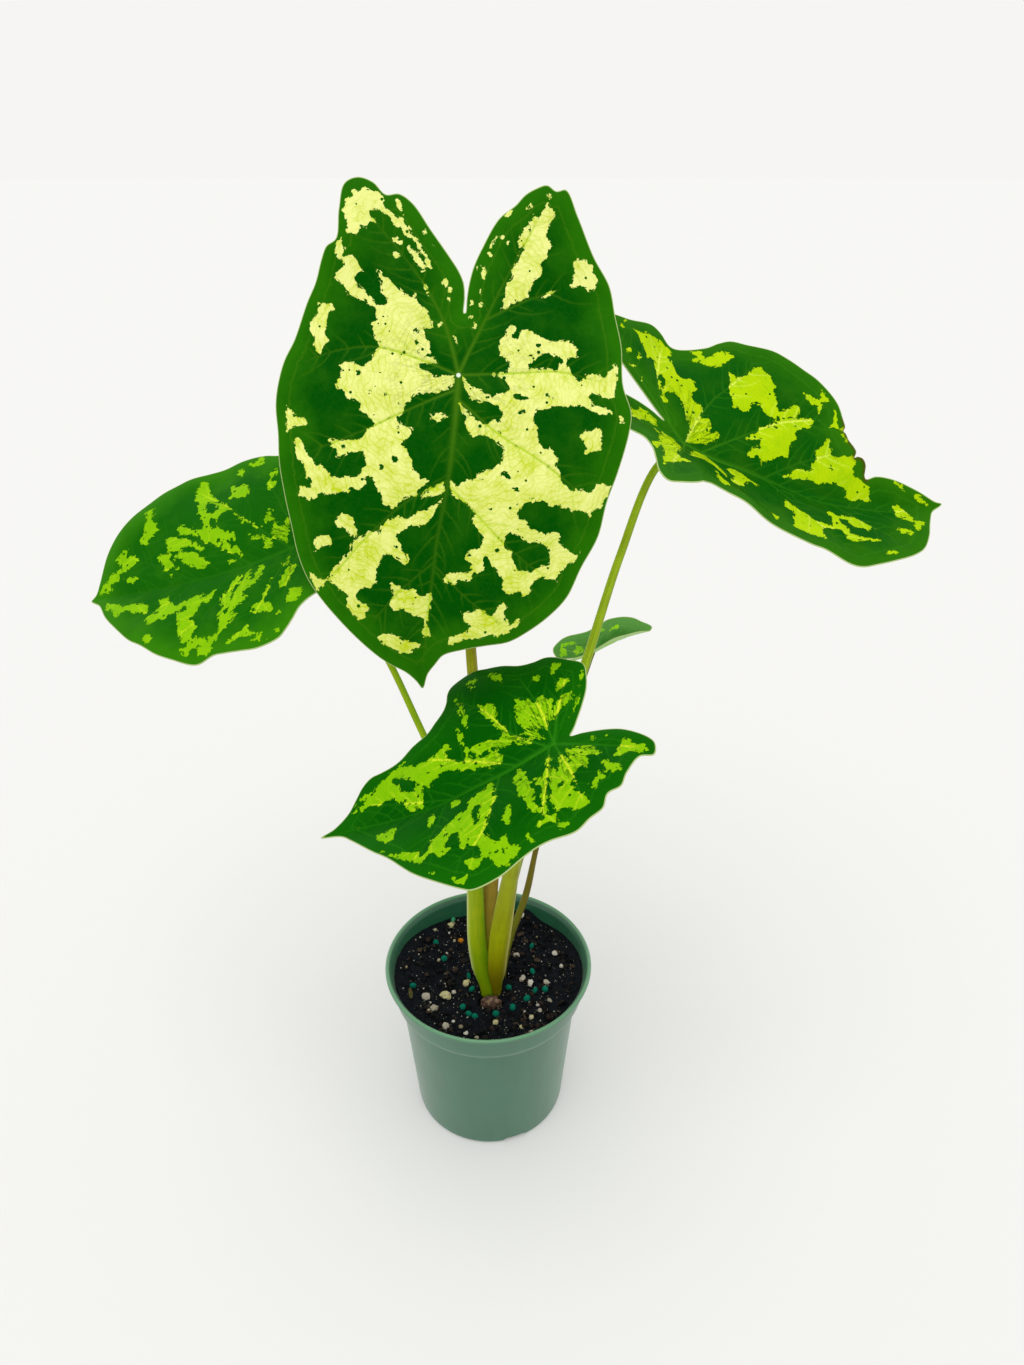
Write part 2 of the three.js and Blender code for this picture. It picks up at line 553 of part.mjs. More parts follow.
function makeStalk(name, growth) {
  const leaf = LEAVES[name];
  const { normal } = leafAxes(leaf);
  const [[midribRadius]] = leaf.ribs;
  const endGap = 0.4 * BLADE_THICKNESS + midribRadius + FIT_GAP;
  const end = new THREE.Vector3(...leaf.attach).addScaledVector(normal, -endGap);
  const rows = STALKS[name];
  const [, , , lastWidth, lastDepth] = rows[rows.length - 1];
  const path = new THREE.CatmullRomCurve3([...rows.map(([x, y, z]) => new THREE.Vector3(x, y, z)), end]);
  const sizes = new THREE.CatmullRomCurve3([
    ...rows.map(([, , , width, depth]) => new THREE.Vector3(width, depth, 0)),
    new THREE.Vector3(lastWidth, lastDepth, 0),
  ]);
  const sections = [];
  for (let i = 0; i <= STALK_STATIONS; i++) {
    const share = i / STALK_STATIONS;
    const direction = i === STALK_STATIONS ? normal : path.getTangent(share);
    const up = direction.clone().cross(new THREE.Vector3(1, 0, 0)).normalize();
    const across = up.clone().cross(direction).normalize();
    const size = sizes.getPoint(share);
    const centre = path.getPoint(share);
    if (i === 0) {
      centre.z -= growth;
    }
    sections.push({ centre, across, up, width: size.x + growth, height: size.y + growth });
  }
  return loft(sections, STALK_SIDES);
}

const MATERIALS = {
  pot: new THREE.MeshStandardMaterial({ color: "#557d69", roughness: 0.45, metalness: 0 }),
  soil: new THREE.MeshStandardMaterial({ color: "#1d1a1a", roughness: 1, metalness: 0 }),
  corm: new THREE.MeshStandardMaterial({ color: "#5a4032", roughness: 0.9, metalness: 0 }),
  stalk: new THREE.MeshStandardMaterial({ color: "#8f9e1a", roughness: 0.5, metalness: 0 }),
  youngStalk: new THREE.MeshStandardMaterial({ color: "#7a7420", roughness: 0.5, metalness: 0 }),
  creamBlade: new THREE.MeshStandardMaterial({ color: "#5e9a35", roughness: 0.45, metalness: 0 }),
  limeBlade: new THREE.MeshStandardMaterial({ color: "#2f7d10", roughness: 0.45, metalness: 0 }),
};

const caladium = new THREE.Group();
caladium.name = "potted_caladium";

caladium.add(meshFromSolid("pot", makePot(), MATERIALS.pot));
const roots = [...Object.keys(STALKS).map((name) => makeStalk(name, FIT_GAP)), makeCorm(FIT_GAP)];
caladium.add(meshFromSolid("soil", makeSoil(roots), MATERIALS.soil));
caladium.add(meshFromSolid("corm", makeCorm(0), MATERIALS.corm));
for (const name of Object.keys(LEAVES)) {
  const stalkMaterial = name === "back" ? MATERIALS.youngStalk : MATERIALS.stalk;
  const bladeMaterial = name === "tall" ? MATERIALS.creamBlade : MATERIALS.limeBlade;
  caladium.add(meshFromSolid("petiole_" + name, makeStalk(name, 0), stalkMaterial));
  caladium.add(meshFromSolid("blade_" + name, makeBlade(LEAVES[name]), bladeMaterial));
}

export default caladium;
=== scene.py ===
# The looks of a potted caladium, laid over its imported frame: five variegated leaves on fleshy stalks that
# rise from one corm in dark potting mix, in a round green nursery pot.
# The tables are in millimetres, as the frame's own source is, and MM turns them to metres.

import json
import math
from functools import partial

import bpy
import numpy as np
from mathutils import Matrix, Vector, noise
from mathutils.geometry import delaunay_2d_cdt

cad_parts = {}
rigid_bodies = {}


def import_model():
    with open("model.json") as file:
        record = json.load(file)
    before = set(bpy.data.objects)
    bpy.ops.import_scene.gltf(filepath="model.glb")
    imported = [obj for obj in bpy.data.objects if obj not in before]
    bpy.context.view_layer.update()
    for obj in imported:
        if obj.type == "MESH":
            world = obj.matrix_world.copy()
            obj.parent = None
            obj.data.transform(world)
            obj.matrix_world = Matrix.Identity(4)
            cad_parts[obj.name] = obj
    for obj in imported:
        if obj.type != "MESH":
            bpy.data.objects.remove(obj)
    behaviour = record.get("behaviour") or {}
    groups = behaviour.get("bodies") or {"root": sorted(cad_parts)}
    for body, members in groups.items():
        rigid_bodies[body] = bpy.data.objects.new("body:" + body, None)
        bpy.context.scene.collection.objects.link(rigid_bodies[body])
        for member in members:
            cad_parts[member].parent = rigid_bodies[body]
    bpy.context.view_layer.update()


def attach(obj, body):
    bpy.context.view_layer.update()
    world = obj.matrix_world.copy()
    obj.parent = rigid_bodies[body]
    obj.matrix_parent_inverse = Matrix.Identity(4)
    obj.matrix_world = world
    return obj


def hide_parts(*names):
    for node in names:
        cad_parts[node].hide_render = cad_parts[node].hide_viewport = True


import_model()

MM = 0.001
# Row spacing of even triangles, as a share of their side
EVEN_ROW = 0.866

# Half sections of the pot, each point a radius and a height.
POT_OUTSIDE = [
    (0, 0), (36.3, 0), (37.3, 0.6), (38.2, 1.5), (43.9, 70), (44.6, 71.6), (46.2, 72.8), (47.3, 75),
    (48.5, 86), (49, 86.6), (50.4, 86.7), (51, 87.3), (51, 88.2), (50.2, 89),
]
POT_INSIDE = [
    (49.9, 89), (49.2, 88.5), (47.6, 85.8), (46, 76), (45.4, 74.8), (43.6, 73), (42.6, 70.6),
    (36.8, 3), (35.4, 1.6), (0, 1.6),
]
POT_SIDES = 240
DRAIN_WIDTH = 12
# How far out each notch cuts, from inside the wall to outside it
DRAIN_CUT = (33.2, 44)
DRAIN_ANGLES = [-70, 20, 110, 200]

# What fills the pot
FIT_GAP = 0.3
SOIL_LEVEL = 77.6
SOIL_BOTTOM = 1.9
PRILL_RADIUS = 1.6
CORM = {"centre": (1.5, -8, 60), "radii": (12, 11, 9.2)}
SCAR_BUD = {"x": 1.3, "y": -16.8, "width": 5.8, "depth": 3.4, "top": 80.4}

# Slow-release fertiliser prills that lie on the soil, each an X and a Y.
PRILLS = [
    [-28, 21], [-23, 10], [-37, -10], [-12, -21], [-9, -25], [-6, -26.5], [-10, -1], [-8, -10], [10, -9],
    [12, -21], [22, 19], [22, 1], [23, -11], [19, -16], [28, -11], [4, -25], [-20, 39], [-15, 23],
]

# Larger grains of perlite, each an X, a Y and a radius.
PERLITE = [
    [-30, -16, 2.2], [-26, -23, 2.6], [-21, -15, 3], [-11, -6, 2.2], [14, 13, 1.9], [17, -3, 2.2],
    [20.5, -6, 2.1], [29, -7, 2], [21, -28, 1.8], [30, -18, 1.4], [16, -33, 1.3], [-20, -33, 2.1],
    [-10, -36, 1.3], [17, 38, 2], [-21, 35, 2], [34, 12, 1.8], [25, -24, 1.5], [4, -30, 1.7],
]

# Each leaf is drawn flat about the point where its stalk joins it: a runs along the midrib to the tip,
# b runs across, both in millimetres. The flat shape is then bent along the midrib, folded up like a
# shallow V, curled at the sides and waved near its margin.
#   attach            where the stalk joins the blade
#   heading rise roll direction of the midrib and turn about it, in degrees
#   bend lobe_bend    bending of the midrib before and behind the stalk, in radians a millimetre
#   fold curl         slope of each side at the midrib, and its change a millimetre, [b < 0, b > 0]
#   sweep twist       sideways sweep and turning of the sides along the midrib
#   waves             soft swellings and hollows: a, b, radius and height
#   ribs              raised veins on the underside: radius at the root, then the points they pass
LEAVES = {
    "tall": {
        "attach": [-7.3, 0, 369.9], "heading": -102, "rise": -59.6, "roll": -8, "bend": 0.0033,
        "lobe_bend": -0.003, "fold": [0.1, 0.1], "curl": [-0.004, -0.004], "sweep": 0, "twist": 0,
        "waves": [[-45, 46, 15, 2.5], [60, -46, 18, -3], [45, 52, 17, 2.5], [-30, -48, 15, -2]],
        "outline": [
            [-22, 0.3], [-27, 0.5], [-32, 1.3], [-36, 3.4], [-40, 6.6], [-49, 14.5], [-57.3, 21.7],
            [-60, 26.7], [-59.4, 31.4], [-63.2, 36.2], [-64.5, 42], [-62, 46.5], [-53, 47.5], [-43, 47.6],
            [-40.3, 51], [-36, 52.6], [-28, 54.4], [-21, 57], [-7.5, 60.5], [0, 63.5], [9, 65], [16.5, 65],
            [26.5, 63], [36, 61.5], [47, 58.5], [57.5, 55.5], [68.5, 52.5], [77, 48.5], [84, 43], [91, 36],
            [98, 28], [103.5, 20.5], [106, 16], [108.6, 10], [111.6, 6.2], [114.3, 3.6], [108.5, 2],
            [104.4, -0.6], [100.6, -3.4], [97.6, -10.5], [95.2, -18.4], [92.8, -27], [88.4, -33.6],
            [82, -40.8], [74.6, -46.6], [63.6, -50.6], [52, -55.4], [39.5, -57.2], [28.5, -60],
            [14.5, -62.5], [7.5, -62.5], [-2, -58.5], [-15.5, -56.5], [-26, -53.2], [-36, -50],
            [-45, -43.4], [-57.5, -36.5], [-65.8, -31.5], [-65.1, -28.2], [-66.8, -24.8], [-65.4, -21],
            [-63, -17.4], [-59.6, -14.6], [-54.6, -9], [-44.5, -4], [-38, -1.6], [-32, -0.5], [-27, -0.2],
            [-22, -0.2],
        ],
        "ribs": [
            [1.7, [0, 0], [16, -0.5], [38, 0], [58, 2], [80, 3], [106, 4]],
            [1.2, [0, 0], [-6, 2], [-18, 7], [-30, 15], [-42, 26], [-52, 37]],
            [1.2, [0, 0], [-6, -2], [-20, -7.5], [-36, -14], [-56, -23]],
            [0.8, [-20, -7.5], [-27, -20], [-33, -33]],
            [0.9, [0, 0], [-4, 14], [-7, 30], [-5, 43], [0, 56]],
            [0.9, [0, 0], [-2, -20], [-4, -36], [-2, -50]], [0.9, [5, 0], [15, 18], [24, 34], [32, 50]],
            [0.9, [8, 0], [20, -17], [28, -33], [37, -47]], [0.9, [37, 0], [47, 15], [62, 29], [78, 41]],
            [0.9, [39, 0], [48, -11], [59, -24], [68, -38]], [0.7, [66, 2], [78, 14], [91, 24]],
            [0.7, [68, 2], [78, -10], [87, -24]],
        ],
    },
    "left": {
        "attach": [-70.9, 8, 304.1], "heading": 194, "rise": -19, "roll": -20, "bend": 0.002,
        "lobe_bend": -0.002, "fold": [0.18, 0.22], "curl": [-0.005, -0.005], "sweep": 0.0034, "twist": 0,
        "waves": [[25, 56, 16, -2.5], [50, -38, 13, -2.5], [66, 52, 14, 2]],
        "outline": [
            [93, 28.5], [90, 30], [87, 34], [80.5, 44.5], [75, 50], [64.5, 57], [58, 60.5], [50.5, 64.5],
            [43.5, 66], [37.5, 67], [29, 65.5], [22, 64], [14.5, 63.5], [8.5, 61.5], [3, 58.5], [-2, 54.5],
            [-11, 50], [-21, 45.5], [-31, 41], [-38, 34], [-39, 26], [-34, 17.5], [-26, 9.5], [-18, 3.5],
            [-13, 0], [-17, -4], [-24, -9.5], [-30, -17], [-31, -24], [-26, -30], [-18, -33], [-8, -33.5],
            [1, -33.5], [7.5, -36.5], [11.5, -41], [15, -44.5], [18.5, -47], [27, -47], [33, -44.5],
            [39.5, -41], [44.5, -38.5], [51.5, -38.5], [60.5, -31], [66, -25], [71.5, -16.5], [76, -10.5],
            [81, -0.5], [86, 11], [89, 21.5],
        ],
        "ribs": [
            [1.5, [0, 0], [20, 0.5], [35, 3.5], [53, 9.5], [72, 18], [87, 26]],
            [1.1, [0, 0], [-12, 11], [-24, 25], [-32, 34]], [1.1, [0, 0], [-10, -9], [-22, -21]],
            [0.8, [0, 0], [3, 20], [5, 38], [9, 54]], [0.8, [5, 0], [14, 15], [24, 36], [35, 55]],
            [0.8, [22, 1], [31, 14], [41, 26], [56, 40]], [0.7, [46, 7], [58, 22], [70, 36]],
            [0.8, [0, 0], [8, -16], [14, -30], [20, -41]], [0.8, [4, 0], [15, -16], [26, -31], [36, -37]],
            [0.8, [21, 1], [32, -10], [48, -19], [60, -22]], [0.7, [46, 7], [58, 0], [74, 2]],
        ],
    },
    "right": {
        "attach": [76.7, 10, 342.8], "heading": 0, "rise": -29, "roll": 16, "bend": -0.005,
        "lobe_bend": -0.002, "fold": [0.38, 0.3], "curl": [-0.002, -0.002], "sweep": -0.0006,
        "twist": -0.004, "fold_fade": 25,
        "waves": [[20, 36, 9, 2.5], [-16, -42, 11, -2.5], [70, -20, 12, 2], [62, 40, 14, -2]],
        "outline": [
            [106, -8], [103.4, -8.6], [96.5, -12], [86.5, -15], [79, -14.6], [75, -12.5], [74.3, -13.5],
            [74, -18], [72.5, -20], [70, -20.3], [69, -19.5], [69.5, -22], [68.5, -24], [66, -27],
            [64.5, -30], [63.5, -31], [64, -33], [63, -36], [59.5, -43.5], [50, -52.5], [43, -56.5],
            [35.5, -60.5], [27.5, -63.5], [15.5, -63.5], [8.5, -63], [3.5, -59.5], [-2, -53.5], [-9, -48.5],
            [-15.5, -46.5], [-22, -49.5], [-27, -50], [-36.5, -44.5], [-43.5, -41.5], [-49, -37],
            [-49, -31], [-42, -25], [-31.5, -18], [-23.5, -13], [-15.5, -8], [-10.5, -5], [-17, -6.3],
            [-24.5, -6.5], [-32, -5], [-37, -1], [-38.5, 5], [-36, 11], [-31, 16], [-25, 18.5],
            [-19.5, 18.5], [-16.5, 24], [-15.5, 32.5], [-14.5, 43], [-11.5, 48.5], [-7, 47.5], [-1, 45.5],
            [6, 38.5], [15.5, 39], [25, 39.5], [37, 38.5], [50, 36.5], [57, 35], [67, 38], [71, 37.5],
            [77, 34], [84.5, 29], [92, 23.5], [96, 19], [98.8, 11.5], [100.4, 3], [102.2, -3.5],
        ],
        "ribs": [
            [1.5, [0, 0], [13, -0.5], [26, -2], [41, -1], [55, 3], [70, 1.5], [86, -0.5], [99, -5]],
            [1.1, [0, 0], [-12, -8], [-26, -19], [-42, -33]], [1, [0, 0], [-14, 2], [-25, 3.5], [-34, 6.5]],
            [0.8, [-8, -6], [-17, -19], [-19, -32], [-19, -43]],
            [0.8, [0, 0], [2, -12], [7, -28], [16, -44], [21, -56]],
            [0.8, [7, 0], [19, -13], [36, -28], [54, -35]], [0.8, [34, -1.5], [47, -13], [60, -20]],
            [0.8, [0, 0], [-3, 14], [-8, 28], [-10, 41]], [0.8, [10, -0.5], [18, 12], [26, 27]],
            [0.8, [36, -1.5], [48, 13], [60, 24], [70, 32]], [0.7, [62, 2], [76, 11], [88, 17]],
        ],
    },
    "front": {
        "attach": [27, -55, 250.1], "heading": 202, "rise": -26, "roll": -1, "bend": 0.0013,
        "lobe_bend": -0.002, "fold": [0.25, 0.28], "curl": [-0.006, -0.006], "sweep": 0.004, "twist": 0,
        "waves": [
            [55, 38, 11, -2.5], [-8, -40, 9, 2], [14, -45, 10, -2], [-4, 46, 14, 2], [40, -44, 12, -2],
        ],
        "outline": [
            [94, 36.5], [87, 34.5], [79, 35], [73.5, 38], [69, 41], [64.5, 42.5], [60.5, 42], [51, 41],
            [44.5, 41.5], [37, 41.5], [32, 44], [27, 47], [24, 50.5], [21.5, 55.5], [19, 58], [14, 59],
            [7.5, 58], [2.5, 53], [-2.5, 48], [-8, 42], [-13.5, 39.5], [-18, 38.5], [-21, 36],
            [-24.5, 30.5], [-28, 23.5], [-26, 18], [-22.5, 12.5], [-17.5, 7.5], [-11, 2], [-6.5, -2],
            [-10.5, -5.5], [-18, -13.5], [-22, -19.5], [-26, -31], [-26, -35.5], [-23, -39.5], [-19, -36.5],
            [-12, -40.5], [-7.5, -44], [-2.5, -43], [1.5, -46], [7, -45.5], [12.5, -46], [21, -43.5],
            [31, -42.5], [42.5, -42.5], [51, -41], [54, -38], [62.5, -25], [66.5, -17.5], [72, -3],
            [76.5, 6.5], [82.5, 21], [86.5, 29.5],
        ],
        "ribs": [
            [1.5, [0, 0], [21, 2], [33, 5], [46, 8], [60, 14.5], [73, 22.5], [86, 31]],
            [1.1, [0, 0], [-10, 13], [-22, 26]], [1.1, [0, 0], [-9, -14], [-21, -32]],
            [0.8, [0, 0], [-4, 18], [-5, 38]], [0.8, [2, 0], [10, 14], [14, 34], [20, 47]],
            [0.8, [15, 1], [29, 16], [43, 31]], [0.7, [42, 7], [56, 18], [70, 31]],
            [0.8, [0, 0], [2, -22], [5, -38]], [0.8, [2, 0], [12, -21], [22, -37]],
            [0.8, [23, 2], [32, -14], [43, -25], [54, -27]], [0.7, [44, 7.5], [54, -6], [64, -13]],
        ],
    },
    "back": {
        "attach": [52.2, 80, 219.4], "heading": 20, "rise": 24, "roll": 4, "bend": 0.014,
        "lobe_bend": -0.025, "fold": [0.75, 0.75], "curl": [-0.01, -0.01], "sweep": 0, "twist": 0,
        "waves": [[16, -14, 6, -1], [10, 13, 6, 1]],
        "outline": [
            [35, -2], [30, -6], [27, -8.5], [20, -11.5], [15, -12.5], [11, -11.5], [4, -10.5], [-2, -12],
            [-8, -13], [-14, -12], [-20, -8], [-19, -3.5], [-6, 0], [-19, 3.5], [-21, 7], [-16, 11.5],
            [-8, 13.5], [0, 12.5], [7, 12], [15, 9.5], [21, 7], [28, 3],
        ],
        "ribs": [
            [0.9, [0, 0], [12, 0], [30, -1.5]], [0.6, [0, 0], [-8, 4], [-15, 7]],
            [0.6, [0, 0], [-8, -4], [-14, -7.5]], [0.5, [2, 0], [9, 5], [15, 7.5]],
            [0.5, [2, 0], [9, -6], [16, -10]],
        ],
    },
}

# Each stalk stands in the soil and widens to a sheath low down. Its points are X, Y, Z, half the width
# seen from the front, and half the depth. It ends flat against the middle of its blade's underside.
STALKS = {
    "tall": [
        [-0.6, -5, 70, 2.1, 2.1], [-0.6, -5, 80, 2.2, 2.1], [0, -4.9, 98, 2.8, 2.2],
        [0.4, -4.6, 120, 3.2, 2.3], [1.7, -4, 148, 3.8, 2.4], [-0.5, -2.5, 190, 2.7, 2.5],
        [-5, 0, 256.2, 2.25, 2.25], [-6.7, 3.6, 310, 1.9, 1.9], [-7.2, 6, 348, 1.7, 1.7],
    ],
    "left": [
        [-0.7, -10.3, 70, 3, 2.2], [-0.7, -10.4, 79, 3.2, 2.3], [-3, -10.2, 95, 3.9, 2.4],
        [-4.6, -9.6, 110, 3.8, 2.4], [-5, -8.4, 140, 3.4, 2.3], [-6, -7, 162, 3, 2.2],
        [-13.5, -3.5, 190, 1.9, 1.8], [-25.9, 1, 217.6, 1.5, 1.5], [-40, 4, 254.1, 1.4, 1.4],
        [-54, 5, 283, 1.3, 1.3],
    ],
    "right": [
        [4, -5.3, 70, 2.1, 2.1], [4, -5.3, 80, 2.1, 2.1], [5.9, -5.3, 98, 2.4, 2.1],
        [8.2, -5, 120, 2.6, 2.1], [14, -3.4, 153, 2.6, 2.1], [27.2, -0.5, 202, 2.3, 2.2],
        [42, 2, 252.8, 2, 2], [54.5, 6, 299.4, 1.65, 1.65], [66.5, 8, 334.2, 1.5, 1.5],
    ],
    "front": [
        [4.1, -9.8, 70, 2.2, 2.1], [4, -10.2, 79, 2.5, 2.2], [4.1, -14.8, 98, 4, 2.5],
        [5.7, -20.6, 122, 4.4, 2.6], [9.4, -31, 158, 3.8, 2.5], [14.5, -42, 195, 2.7, 2.2],
        [21.5, -50.5, 228, 1.9, 1.9],
    ],
    "back": [
        [7, 0.2, 70, 1.5, 1.5], [7.4, 1.2, 80, 1.6, 1.6], [10.4, 8, 93.8, 1.8, 1.7],
        [18.6, 20, 112.6, 1.75, 1.6], [23.7, 30, 133.2, 1.35, 1.35], [32.6, 46, 165, 1.2, 1.2],
        [43, 64, 196, 1.1, 1.1],
    ],
}

# The torn edge of one leaf, as points a, b.
TORN_MARGIN = {
    "right": [
        (75, -12.5), (74.3, -13.5), (74, -18), (72.5, -20), (70, -20.3), (69, -19.5), (69.5, -22),
        (68.5, -24), (66, -27), (64.5, -30), (63.5, -31), (64, -33), (63, -36),
    ]
}

